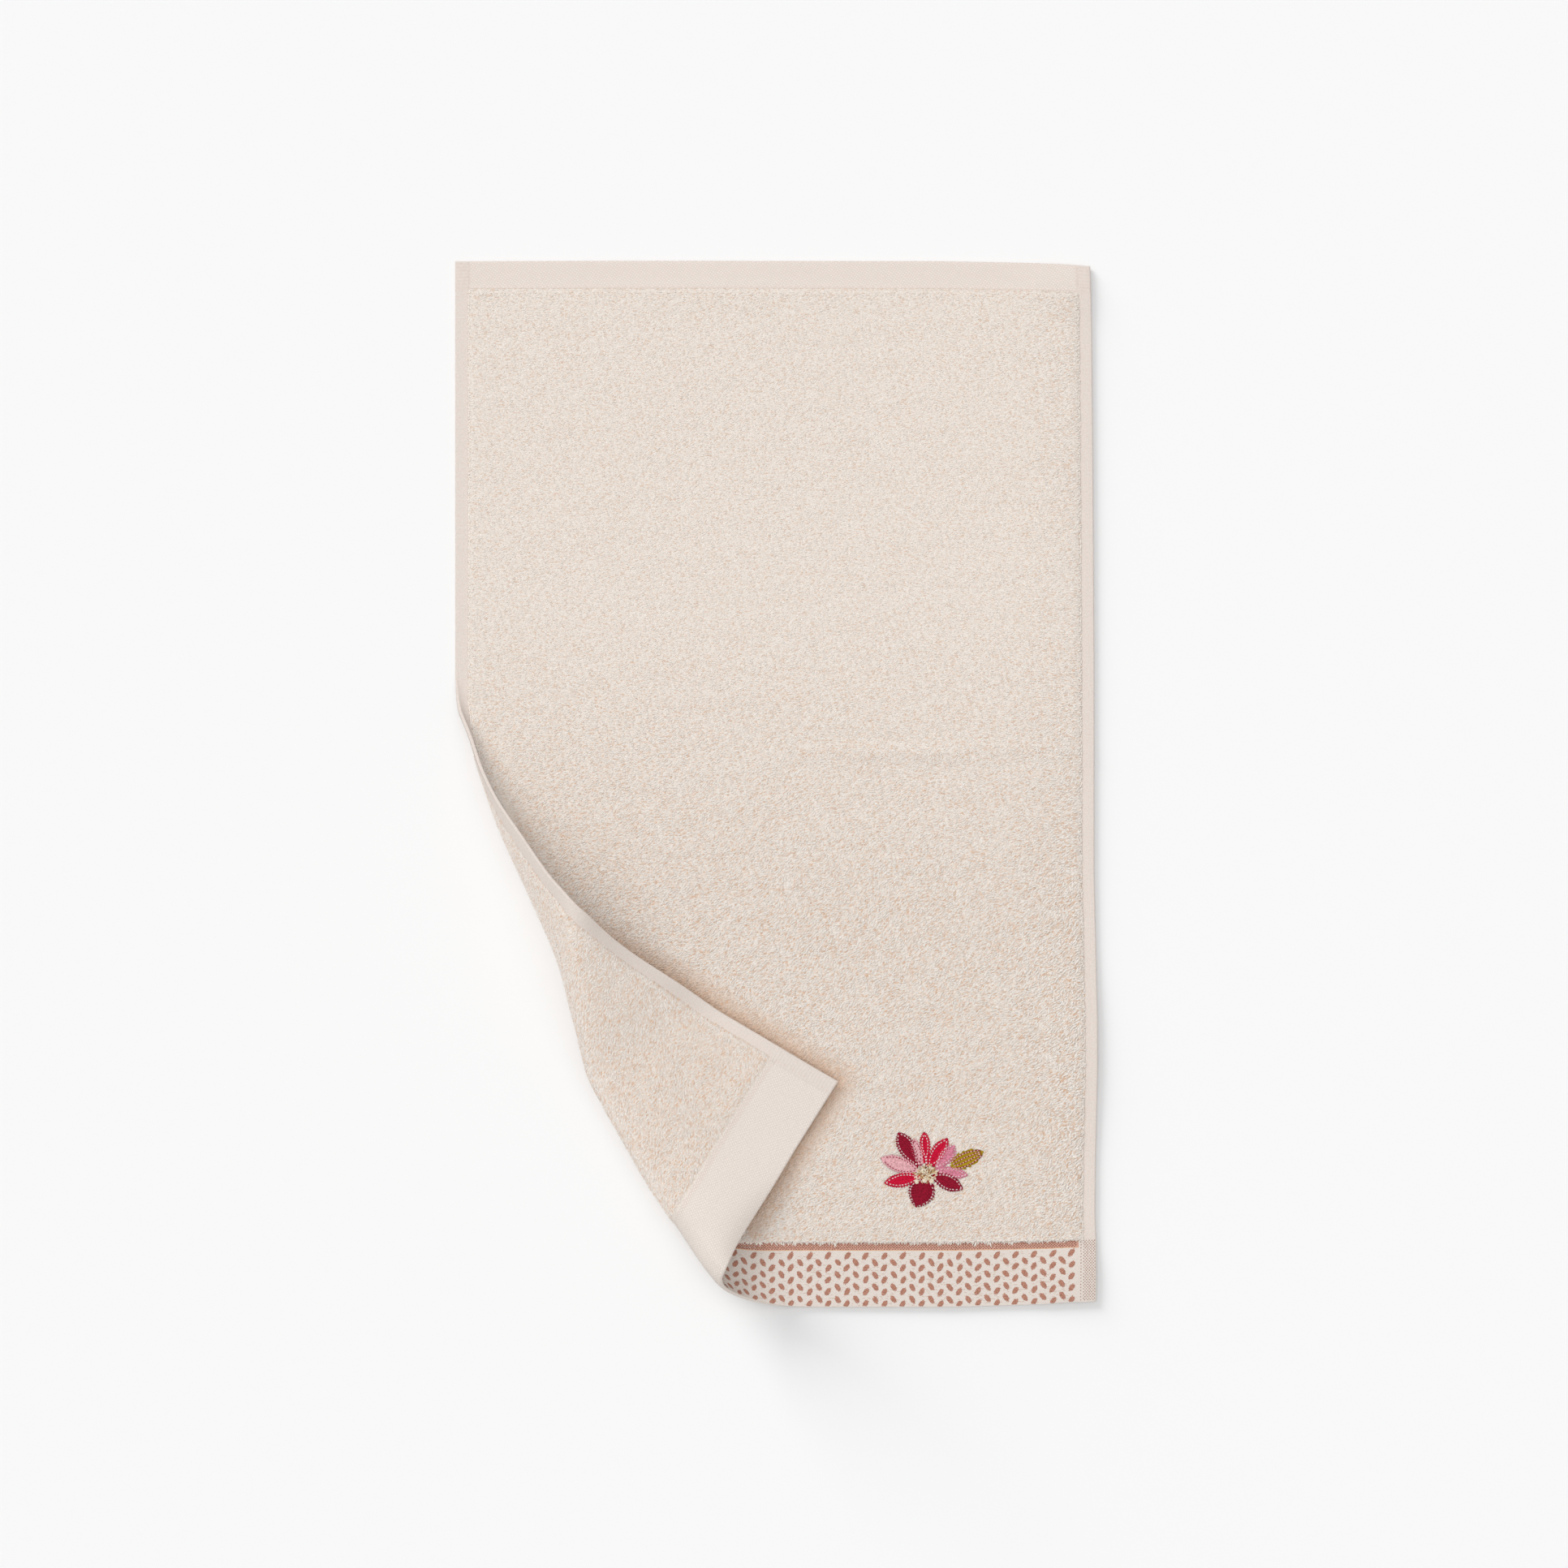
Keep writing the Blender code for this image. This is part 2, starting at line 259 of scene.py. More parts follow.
# --- Embroidery ---
Petal = namedtuple("Petal", "x y lean length width widest thread dashes")
FLOWER = (223.0 * MM, 63.4 * MM)
PETALS = [Petal(*row) for row in (
    # base x and y from the flower's middle mm, angle deg, length mm, width mm, widest at this
    # share of its length, thread, dashes
    (11.9, 3.6, 24.5, 16.8, 8.1, 0.42, "mustard", "pink"),
    (4.3, 2.4, 49.5, 14.5, 6.9, 0.60, "mid_pink", "pale"),
    (4.4, 1.9, -9.5, 15.6, 5.1, 0.52, "mid_pink", "pale"),
    (1.2, 3.4, 56, 16.2, 6.3, 0.50, "crimson", "pale"),
    (-2.2, 3.0, 105, 14.1, 4.9, 0.60, "light_pink", "rose"),
    (0.3, 3.6, 94, 16.2, 4.5, 0.64, "crimson", "pale"),
    (-3.7, 3.0, 119.5, 19.0, 7.4, 0.60, "dark_red", "pale"),
    (-3.6, 1.4, 161, 18.8, 7.0, 0.52, "light_pink", "rose"),
    (3.4, -0.7, -25, 15.4, 7.0, 0.50, "dark_red", "pale"),
    (-2.7, -1.5, 189.5, 17.2, 6.1, 0.50, "crimson", "pale"),
    (0.2, -2.6, 249, 14.0, 11.4, 0.44, "dark_red", "pale"),
)]
PETAL_ROUNDNESS = 0.62
# Where a stitch's line has its points, as shares of its length: blunt at both ends
STITCH_STATIONS = np.array((0.0, 0.05, 0.30, 0.70, 0.95, 1.0))
PADDING = (-0.62, -0.3, 0.0, 0.3, 0.62)  # under them, across a petal's half width
SATIN_PITCH = 0.55 * MM
SATIN_WIDTH = 0.68 * MM
PETAL_FULLNESS = 1.16  # the widths above, out to the longest stitches
RAGGEDNESS = 0.60 * MM  # every other stitch stops this much short of the outline
LEAF_TEETH = (4, 1.3 * MM)  # the leaf's outline has teeth: stitches in each, their depth
SATIN_SLANT = 0.9  # run along the petal for each length out from its midline
SLANTED_WIDTH = 7.5 * MM  # wider petals have less slanted stitches
CENTRE_SIZE = (5.5 * MM, 4.2 * MM)
CENTRE_STITCHES = 95
# Knots below the flower's middle: x and y from it mm, lean deg
KNOTS = ((-4.4, -3.6, 15), (-0.7, -3.2, 80), (2.7, -3.5, 115))
KNOT_SIZE = (2.5 * MM, 2.1 * MM)
DASH_PITCH = 1.42 * MM
DASH_LENGTH = 0.95 * MM
DASH_WIDTH = 0.48 * MM
DASH_INSET = 1.25 * MM
LEAF_LINES = (0.62, 0.2, -0.2, -0.62)  # its dashes, as shares of its half width

# --- Colours and finishes ---
THREADS = {
    # thread: slot, colour (linear)
    "dark_red": ("thread_dark_red", (0.32, 0.006, 0.030)),
    "crimson": ("thread_crimson", (0.66, 0.006, 0.045)),
    "light_pink": ("thread_light_pink", (0.89, 0.50, 0.55)),
    "mid_pink": ("thread_mid_pink", (0.76, 0.27, 0.38)),
    "mustard": ("thread_mustard", (0.45, 0.30, 0.012)),
    "gold": ("thread_gold", (0.76, 0.52, 0.27)),
    # a darker copy of the gold, padded under the flower's middle: painted shade between its
    # stitches
    "gold_shade": ("thread_gold", (0.30, 0.15, 0.08)),
    "straw": ("thread_gold", (0.95, 0.86, 0.70)),
    "pale": ("thread_light_pink", (0.92, 0.68, 0.72)),
    "rose": ("thread_mid_pink", (0.46, 0.07, 0.13)),
    "pink": ("thread_light_pink", (0.90, 0.52, 0.58)),
}

MATT = {"Roughness": 0.9, "Sheen Weight": 0.15, "Sheen Roughness": 0.5, "Specular IOR Level": 0.25}
SILK = {"Roughness": 0.45, "Sheen Weight": 0.0, "Sheen Roughness": 0.5, "Specular IOR Level": 0.08}
SILK_SHADE, SILK_GRAIN = 0.68, 0.9  # as in the third and fourth column of the fabrics
THREAD_SHADE_SHARE = 0.02  # an embroidery thread's colour at its foot and sides, of its full one: painted shade between stitches
CREAM = (0.882, 0.861, 0.824)
LOOP_SHADE = (0.65, 0.435, 0.30)  # painted shade colour of the loops: their sides and ends, the dark loops, and beside the corner
# painted shade of the twill: at its floats' sides and ends, and as the band back's cloth between
# them
TWILL_SHADE = (0.72, 0.635, 0.575)
# the ground weave is darker and warmer than the loops, and its foot colour darker still: painted
# shade between the loops
GROUND = (0.825, 0.752, 0.688)
GROUND_SHADE = (0.66, 0.48, 0.35)
GROUND_SHADE_SHARE = 0.05  # how much of its painted shade colour the ground shows in the lower half, and everywhere on its back
FABRICS = {
    # name: slot, colour (linear), how light its darkest places are, size of the speckles mm,
    # painted shade colour at the foot and sides of threads and beside the corner, bump, the bumps'
    # size mm
    "terry ground": ("terry", GROUND, 0.85, 0.9, GROUND_SHADE, 0.6, (1.2, 0.5)),
    "terry underside": ("terry", CREAM, 0.80, 0.9, None, 1.0, (1.2, 0.5)),
    "terry loops": ("terry", CREAM, 0.92, 0.8, LOOP_SHADE),
    # painted shade: a darker copy of the loops' cream, toning down the turned-back corner under
    # its own lamps
    "terry loops back": ("terry", (0.852, 0.832, 0.80), 0.88, 0.8, LOOP_SHADE),
    # painted light: a lighter copy of the loops' cream, for the tufts that hang in the pile's
    # shade
    "terry tufts": ("terry", (0.93, 0.885, 0.83), 0.95, 0.8, LOOP_SHADE),
    "band back": ("terry", TWILL_SHADE, 0.94, 0.9, None, 0.3, (0.5, 0.5)),
    "hem weave": ("hem", (0.754, 0.675, 0.62), 0.93, 0.9, None, 0.4, (0.6, 0.6)),
    "hem twill": ("hem", (0.84, 0.765, 0.71), 0.94, 0.9, TWILL_SHADE, 0.3, (0.5, 0.5)),
    "sewing thread": ("hem", (0.72, 0.60, 0.52), 0.9, 0.9),
    "band ground": ("band_ground", (0.73, 0.66, 0.605), 0.94, 0.9, None, 0.3, (2.5, 0.4)),
    "band brown": ("band_brown", (0.52, 0.26, 0.19), 0.62, 0.6),
    "stripe tan": ("band_brown", (0.64, 0.36, 0.28), 0.8, 0.5),
    # painted shade in the gaps of the stripe's weave
    "stripe gap shade": ("band_brown", (0.20, 0.07, 0.05), 0.8, 0.9),
    "stripe edge": ("band_brown", (0.74, 0.46, 0.30), 0.85, 0.9),
    "flecks": ("band_brown", (0.62, 0.47, 0.38), 0.85, 0.9),
    "selvage brown": ("band_brown", (0.36, 0.19, 0.14), 0.85, 0.9),
}
for thread, (slot, colour) in THREADS.items():
    FABRICS[f"thread {thread}"] = (slot, colour, SILK_SHADE, SILK_GRAIN,
                                   tuple(THREAD_SHADE_SHARE * c for c in colour), 0.0, None, SILK)
SPECKLE_RANGE = (0.35, 0.62)  # of the noise, from the darkest places to the full colour
DARK_WARMTH = 0.25  # how much further the darkest places lack green and blue
NOISE_DETAIL = 2.0
BUMP_DISTANCE = 0.3 * MM

# --- Scene ---
PAPER = (0.94, 0.94, 0.94, 1)
CAMERA_PLACE = (4.8 * MM, 0.0, 2.066)
CAMERA_LENS, CAMERA_SENSOR = 100, 36
CAMERA_RANGE = (0.1, 10)
FLOOR_REACH = 20.0  # m, either way
SKY = 0.48  # strength of the even light from all round
LIGHTS = (
    # name, energy, how soft (deg), tilt about x and y (deg), what it lights
    ("window", 0.95, 30, -38, -38, "lying cloth"),
    ("low_window", 3.00, 30, -46, -66, "floor"),
    ("ceiling", 0.80, 80, 0, 0, "all"),
    ("fill", 0.46, 80, 0, 0, "towel"),
    ("corner_right", 0.65, 60, -25, 56, "corner"),
    ("corner_left", 1.05, 60, 25, -56, "corner"),
    ("corner_top", 0.04, 80, 0, 0, "corner"),
)


# === Where the cloth lies, as in the part's source ===

def thickness_at(u, v):
    """Thickness of the cloth: thin hems and band, full pile in the field."""
    across = np.interp(u, *zip(*ACROSS))
    along = np.interp(v, *zip(*ALONG))
    return np.minimum(across, along)


def edge_offset(table, along):
    """How far an edge wanders, in metres, at a distance along it in metres."""
    places, offsets = zip(*table)
    return np.interp(along, np.array(places) * MM, np.array(offsets) * MM)


def near_edge(distance):
    """1 at an edge, falling smoothly to 0 at EDGE_REACH from it."""
    t = np.clip(1.0 - distance / EDGE_REACH, 0.0, 1.0)
    return t * t * (3.0 - 2.0 * t)


def flat_position(u, v):
    """Place of a cloth point on the surface before the corner is turned back."""
    x = u - WIDTH / 2 + edge_offset(RIGHT_EDGE, v) * near_edge(WIDTH - u)
    y = (
        v - LENGTH / 2
        + edge_offset(BOTTOM_EDGE, u) * near_edge(v)
        - edge_offset(TOP_EDGE, u) * near_edge(LENGTH - v)
    )
    return x, y


def swell_height(u, v):
    """Lift of the lying cloth by its soft swells."""
    lift = np.zeros_like(u)
    for centre_u, centre_v, half_u, half_v, height in SWELLS:
        away = ((u / MM - centre_u) / half_u) ** 2 + ((v / MM - centre_v) / half_v) ** 2
        lift += height * MM * np.clip(1.0 - away / 2, 0.0, None) ** 2
    return lift


def section_rows(s):
    """The roll's section at each s: smooth, overshoot-free interpolation of ROLL_SECTIONS."""
    table = np.array(ROLL_SECTIONS) * MM
    places, values = table[:, 0], table[:, 1:]
    span = np.diff(places)[:, None]
    slope = np.diff(values, axis=0) / span
    tangent = np.vstack([slope[:1], np.zeros_like(slope[1:]), slope[-1:]])
    product = slope[:-1] * slope[1:]
    total = np.where(product > 0, slope[:-1] + slope[1:], 1.0)
    tangent[1:-1] = np.where(product > 0, 2 * product / total, 0.0)
    row = np.clip(np.searchsorted(places, s) - 1, 0, len(places) - 2)
    t = np.clip((s - places[row]) / (places[row + 1] - places[row]), 0.0, 1.0)[:, None]
    return hermite(values[row], tangent[row] * span[row], values[row + 1],
                   tangent[row + 1] * span[row], t)


def hermite(start, start_tangent, end, end_tangent, t):
    """Cubic that leaves start and reaches end with the given tangents."""
    return (
        start * (2 * t**3 - 3 * t**2 + 1)
        + start_tangent * (t**3 - 2 * t**2 + t)
        + end * (3 * t**2 - 2 * t**3)
        + end_tangent * (t**3 - t**2)
    )


def unit(vectors):
    """Vectors scaled to length 1."""
    return vectors / np.linalg.norm(vectors, axis=-1, keepdims=True)


def section_curves(rows):
    """Each section of the roll as a run of points (q, z), from its foot to where it lands."""
    foot, belly_q, belly_z, ridge_q, ridge_z, land = rows.T
    land = np.maximum(land, ridge_q + 3 * MM)
    knots = [
        np.stack([foot, np.zeros_like(foot)], 1),
        np.stack([belly_q, belly_z], 1),
        np.stack([ridge_q, ridge_z], 1),
        np.stack([land, np.full_like(foot, REST_LIFT)], 1),
    ]
    chords = [np.linalg.norm(knots[i + 1] - knots[i], axis=1, keepdims=True) for i in range(3)]
    over_ridge = unit(unit(knots[3] - knots[2]) + unit(knots[2] - knots[1]))
    heading = [np.array([[-1.0, 0.0]]), np.array([[0.0, 1.0]]), over_ridge,
               np.array([[1.0, 0.0]])]
    leave = (1.0, 1.0, RIDGE_CRISPNESS)
    reach = (1.0, RIDGE_CRISPNESS, 1.0)
    t = np.linspace(0.0, 1.0, SECTION_STEPS + 1)[None, :, None]
    runs = []
    for i in range(3):
        start_tangent = (heading[i] * chords[i] * leave[i])[:, None]
        end_tangent = (heading[i + 1] * chords[i] * reach[i])[:, None]
        run = hermite(knots[i][:, None], start_tangent, knots[i + 1][:, None], end_tangent, t)
        runs.append(run if i == 0 else run[:, 1:])
    return np.concatenate(runs, axis=1)


def turned(x, y, angle):
    """A step of x and y, turned anticlockwise by an angle."""
    return x * np.cos(angle) - y * np.sin(angle), x * np.sin(angle) + y * np.cos(angle)


def fold_coordinates(x, y):
    """Distance up along the fold and across it, for flat points."""
    q, s = turned(x - FOLD_ORIGIN[0], y - FOLD_ORIGIN[1], -FOLD_LEAN)
    return s, q


def out_of_fold(s, q):
    """The x and y of a place that is given in fold coordinates."""
    x, y = turned(q, s, FOLD_LEAN)
    return FOLD_ORIGIN[0] + x, FOLD_ORIGIN[1] + y


def past_foot(u, v):
    """Cloth between the roll's foot and each point; below 0 where the cloth lies flat."""
    s, q = fold_coordinates(*flat_position(u, v))
    return section_rows(s)[:, 0] - q


def turn_corner(x, y):
    """Carry flat points round the roll: their x, y and height above the surface."""
    place = np.stack([x, y, np.zeros_like(x)], 1)
    s, q = fold_coordinates(x, y)
    near = np.flatnonzero(q < WIDEST_FOOT)
    for some in np.array_split(near, len(near) // CHUNK + 1):
        place[some] = roll_up(s[some], q[some])
    return place[:, 0], place[:, 1], place[:, 2]


def roll_up(s, q):
    """Where points at s and q, in fold coordinates, lie once the corner is turned back."""
    rows = section_rows(s)
    curve = section_curves(rows[:, :-1])
    steps = np.linalg.norm(np.diff(curve, axis=1), axis=2)
    travelled = np.concatenate([np.zeros((len(s), 1)), np.cumsum(steps, axis=1)], axis=1)
    arc = rows[:, 0] - q
    each = np.arange(len(s))
    k = np.clip((travelled <= arc[:, None]).sum(1) - 1, 0, steps.shape[1] - 1)
    part = (arc - travelled[each, k]) / steps[each, k]
    place = curve[each, k] + (curve[each, k + 1] - curve[each, k]) * part[:, None]

    landed = arc > travelled[:, -1]
    place[landed, 0] = curve[landed, -1, 0] + (arc - travelled[:, -1])[landed]
    place[landed, 1] = REST_LIFT
    lying = arc <= 0
    place[lying, 0] = q[lying]
    place[lying, 1] = 0.0

    t = np.clip(arc / (travelled[:, SECTION_STEPS] * SLIP_REACH), 0.0, 1.0)
    s = s + rows[:, -1] * np.where(lying, 0.0, t * t * (3 - 2 * t))
    return np.stack([*out_of_fold(s, place[:, 0]), place[:, 1]], 1)


def lying_position(u, v):
    """Where the middle of the cloth's thickness lies, for arrays of cloth points."""
    x, y, z = turn_corner(*flat_position(u, v))
    return np.stack([x, y, z + swell_height(u, v) + thickness_at(u, v) / 2], axis=1)


# === Placing things on the cloth ===

def cloth_frames(u, v, side):
    """Middle of the cloth, its directions along u and v, and the one out of that side."""
    middle = lying_position(u, v)
    along_u = unit(lying_position(u + PROBE, v) - lying_position(u - PROBE, v))
    along_v = unit(lying_position(u, v + PROBE) - lying_position(u, v - PROBE))
    out = unit(np.cross(along_u, along_v)) * side
    return middle, along_u, along_v, out


def ground_height(u, v, side):
    """From the cloth's middle to the ground weave, which the loops stand out of."""
    half = thickness_at(u, v) / 2
    pile = np.clip((half * 2 - HEM_THICKNESS) / (PILE_THICKNESS - HEM_THICKNESS), 0.0, 1.0)
    if side == FRONT:
        beside_band = np.maximum(v, BAND_BACK + HEM_SLOPE)
        share = np.clip((v - BAND_FRONT) / PILE_EDGE, 0.0, 1.0)
        half = half + (thickness_at(u, beside_band) - 2 * half) * share
    else:
        half = np.where(v < BAND_BACK, np.minimum(half, BAND_THICKNESS / 2), half)
        pile = pile * np.clip(past_foot(u, v) / BACK_LOOPS_FADE, 0.0, 1.0)
        pile = np.where(v < BAND_BACK, 0.0, pile)
    to_edge = np.minimum(np.minimum(u, WIDTH - u), np.minimum(v, LENGTH - v))
    inwards = np.clip(to_edge / half, 0.0, 1.0)
    rim = RIM_BLUNTNESS + (1 - RIM_BLUNTNESS) * np.sqrt(1 - (1 - inwards) ** 2)
    return (half - LOOP_REACH * pile) * rim


def waves(u, v, table):
    """Sum of the sine waves in a table, at each cloth point."""
    total = np.zeros_like(u)
    for length, heading, phase, swing in table:
        turn = math.radians(heading)
        along = (u * math.cos(turn) + v * math.sin(turn)) / (length * MM)
        total += swing * np.sin(2 * math.pi * along + math.radians(phase))
    return total


def ramp(value, start, end):
    """0 at start and before it, rising evenly to 1 at end."""
    return np.clip((value - start) / (end - start), 0, 1)


def spread(low, high, shape):
    """Random numbers between low and high."""
    return CHANCE.uniform(low, high, shape)


def scatter(size, like):
    """Normally distributed random numbers of this size around 0, as many as in an array."""
    return CHANCE.normal(0, size, np.shape(like))


# === Meshes ===

def mesh_object(name, verts, faces, fabrics, uv, indices=None, lit_shares=None):
    """A smooth mesh that rides on the towel. All of its faces have the same number of corners."""
    mesh = bpy.data.meshes.new(name)
    corners = faces.shape[1]
    mesh.vertices.add(len(verts))
    mesh.vertices.foreach_set("co", verts.astype(np.float32).ravel())
    mesh.loops.add(faces.size)
    mesh.loops.foreach_set("vertex_index", faces.astype(np.int32).ravel())
    mesh.polygons.add(len(faces))
    mesh.polygons.foreach_set("loop_start", np.arange(len(faces), dtype=np.int32) * corners)
    mesh.update(calc_edges=True)
    mesh.shade_smooth()
    for fabric in fabrics:
        mesh.materials.append(bpy.data.materials[fabric])
    if indices is not None:
        mesh.polygons.foreach_set("material_index", indices.astype(np.int32))
    layer = mesh.uv_layers.new(name="cloth")
    layer.data.foreach_set("uv", uv[faces.ravel()].astype(np.float32).ravel())
    # each point's share of its light colour; the rest is painted shade
    if lit_shares is not None:
        layer = mesh.attributes.new("height", "FLOAT", "POINT")
        layer.data.foreach_set("value", lit_shares.astype(np.float32))
    obj = bpy.data.objects.new(name, mesh)
    bpy.context.scene.collection.objects.link(obj)
    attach(obj, "root")
    return obj


def threads(name, lines, width, depth, side, fabric, shown=1.0, end_lit_share=0.0):
    """Many threads as one object. Each row of lines' u, v and lift is one thread's ridge line.

    A thread narrows to a point at both ends. Between them it is width across, and its sides
    lie depth below its ridge. None of it reaches below the surface that the towel lies on.
    A thread that is shown less has more of its foot's colour, and so have its ends and sides: this
    darker colour is painted shade.
    """
    u, v, lift = lines
    count, stations = u.shape
    width = np.broadcast_to(np.asarray(width, float).reshape(-1, 1), u.shape)
    middle, along_u, along_v, out = cloth_frames(u.ravel(), v.ravel(), side)
    height = (ground_height(u.ravel(), v.ravel(), side) + lift.ravel())[:, None]
    ridge = (middle + out * height).reshape(count, stations, 3)
    run = unit(np.stack([np.gradient(u, axis=1), np.gradient(v, axis=1)], 2)).reshape(-1, 2)
    across = (along_v * run[:, :1] - along_u * run[:, 1:]) * side
    half = (across * width.reshape(-1, 1) / 2).reshape(count, stations, 3)
    sunk = ridge - (out * depth).reshape(count, stations, 3)

    body = np.stack([sunk + half, ridge, sunk - half], 2)[:, 1:-1]
    verts = np.concatenate([ridge[:, :1], body.reshape(count, -1, 3), ridge[:, -1:]], 1)
    verts[:, :, 2] = np.maximum(verts[:, :, 2], 0.0)
    rings = [SIDE_LIT_SHARE, 1.0, SIDE_LIT_SHARE] * (stations - 2)
    lit_shares = np.reshape(shown, (-1, 1)) * np.array([end_lit_share, *rings, end_lit_share])
    lit_shares = np.broadcast_to(lit_shares, verts.shape[:2])
    places = np.stack([u, v], 2)
    uv = np.concatenate([places[:, :1], np.repeat(places[:, 1:-1], 3, 1), places[:, -1:]], 1)
    offsets = (np.arange(count) * verts.shape[1])[:, None, None]
    faces = (thread_faces(stations) + offsets).reshape(-1, 3)
    return mesh_object(name, verts.reshape(-1, 3), faces, [fabric], uv.reshape(-1, 2),
                       lit_shares=lit_shares.ravel())


def thread_faces(stations):
    """Triangles of one thread: a point, rings of left, ridge and right, and a point."""
    last = 1 + 3 * (stations - 2)
    faces = [(0, 2, 1), (0, 3, 2)]
    for ring in range(stations - 3):
        left, ridge, right = (1 + 3 * ring + i for i in range(3))
        faces += [(left, ridge, ridge + 3), (left, ridge + 3, left + 3),
                  (ridge, right, right + 3), (ridge, right + 3, ridge + 3)]
    faces += [(last - 3, last - 2, last), (last - 2, last - 1, last)]
    return np.array(faces)


def grain(u, v, angle, length, rise, bend, shape=FLOAT_SHAPE):
    """Ridge lines of short arched threads, centred on u and v and lying along angle."""
    t, arch = np.array(shape).T
    along = np.asarray(length).reshape(-1, 1) * t
    aside = np.asarray(bend).reshape(-1, 1) * (t**2 - 0.14) * 4
    du, dv = turned(along, aside, np.reshape(angle, (-1, 1)))
    lift = np.asarray(rise).reshape(-1, 1) * arch
    return u.reshape(-1, 1) + du, v.reshape(-1, 1) + dv, np.broadcast_to(lift, du.shape)


# === Materials ===

def put(node, values):
    """Set a node's inputs, each by its name."""
    for name, value in values.items():
        node.inputs[name].default_value = value


def weave(name, colour, shade, grain_size, foot=None, bump=0.0, bump_size=None, finish=MATT):
    """A fabric: its colour varies a little from place to place, and towards its foot it takes a
    painted shade colour.
    """
    material = bpy.data.materials.new(name)
    material.use_nodes = True
    nodes, links = material.node_tree.nodes, material.node_tree.links
    shader = nodes["Principled BSDF"]
    put(shader, finish)

    place = nodes.new("ShaderNodeUVMap")
    place.uv_map = "cloth"
    speckle = nodes.new("ShaderNodeTexNoise")
    put(speckle, {"Scale": 1 / (grain_size * MM), "Detail": NOISE_DETAIL})
    links.new(place.outputs["UV"], speckle.inputs["Vector"])
    tint = nodes.new("ShaderNodeValToRGB")
    dark, light = tint.color_ramp.elements
    dark.position, light.position = SPECKLE_RANGE
    dark.color = (*(c * shade ** (1 + i * DARK_WARMTH) for i, c in enumerate(colour)), 1.0)
    light.color = (*colour, 1.0)
    links.new(speckle.outputs["Fac"], tint.inputs["Fac"])
    links.new(tint.outputs["Color"], shader.inputs["Base Color"])
    if foot:
        # painted shade: mix in the foot colour where a point shows less of its light colour
        height = nodes.new("ShaderNodeAttribute")
        height.attribute_name = "height"
        shade_mix = nodes.new("ShaderNodeMix")
        shade_mix.data_type = "RGBA"
        put(shade_mix, {"A": (*foot, 1.0)})
        links.new(height.outputs["Fac"], shade_mix.inputs["Factor"])
        links.new(tint.outputs["Color"], shade_mix.inputs["B"])
        links.new(shade_mix.outputs["Result"], shader.inputs["Base Color"])
    if bump:
        stretch = nodes.new("ShaderNodeMapping")
        put(stretch, {"Scale": (*(1 / (size * MM) for size in bump_size), 1.0)})
        relief = nodes.new("ShaderNodeTexNoise")
        put(relief, {"Scale": 1.0, "Detail": NOISE_DETAIL})
        raised = nodes.new("ShaderNodeBump")
        put(raised, {"Strength": bump, "Distance": BUMP_DISTANCE})
        links.new(place.outputs["UV"], stretch.inputs["Vector"])
        links.new(stretch.outputs["Vector"], relief.inputs["Vector"])
        links.new(relief.outputs["Fac"], raised.inputs["Height"])
        links.new(raised.outputs["Normal"], shader.inputs["Normal"])


# === The cloth itself ===

def lines_between(start, end, step):
    """Evenly spaced grid lines from start up to, but not including, end."""
    count = max(1, round((end - start) / step))
    return [start + (end - start) * i / count for i in range(count)]


def cloth_lines(length, folded, marks):
    """Grid lines across the cloth's length: fine in the fold, at edges, and at the marks."""
    rims = [0.0, *RIM_LINES, *(length - line for line in RIM_LINES), length]
    stops = sorted({*rims, *marks, folded})
    lines = []
    for start, end in zip(stops, stops[1:]):
        lines += lines_between(start, end, FINE if start < folded else COARSE)
    return np.array(lines + [length])


def between(lines, start, end):
    """The grid lines from start to end."""
    return lines[(lines > start - TOUCH) & (lines < end + TOUCH)]


def cloth_piece(name, us, vs, *fabrics):
    """A closed slab of the cloth over the given grid lines.

    The second fabric is for the back of the band, the third for the back where it lies flat.
    """
    across, up = len(us), len(vs)
    u, v = (grid.ravel() for grid in np.meshgrid(us, vs))
    verts = []
    for side in (FRONT, BACK):
        middle, _, _, out = cloth_frames(u, v, side)
        verts.append(middle + out * ground_height(u, v, side)[:, None])
    index = np.arange(across * up).reshape(up, across)
    a, b = index[:-1, :-1].ravel(), index[:-1, 1:].ravel()
    c, d = index[1:, 1:].ravel(), index[1:, :-1].ravel()
    front = np.stack([a, b, c, d], 1)
    rim = np.concatenate([index[0, :-1], index[:-1, -1], index[-1, :0:-1], index[:0:-1, 0]])
    ahead = np.roll(rim, -1)
    under = across * up
    back = front[:, ::-1] + under
    wall = np.stack([rim, rim + under, ahead + under, ahead], 1)
    faces = np.concatenate([front, back, wall])
    indices = np.zeros(len(faces), int)
    lit_shares = None
    if len(fabrics) > 1:
        # painted shade on the ground: in the lower half, and beside the turned-back corner
        deep = np.maximum(GROUND_SHADE_SHARE * lower_share(v), CORNER_SHADE_SHARE * corner_shade(u, v))
        lit_shares = np.concatenate([1 - deep, np.full(len(v), 1 - GROUND_SHADE_SHARE)])
        at = back[:, 0] - under
        lying = past_foot(u[at], v[at]) < 0
        indices[len(front):len(front) + len(back)] = np.where(
            v[at] < BAND_BACK - TOUCH, 1, np.where(lying, 2, 0))
    uv = np.tile(np.stack([u, v], 1), (2, 1))
    obj = mesh_object(name, np.concatenate(verts), faces, fabrics, uv, indices, lit_shares)
    obj.data.set_sharp_from_angle(angle=RIM_ANGLE)
    return obj


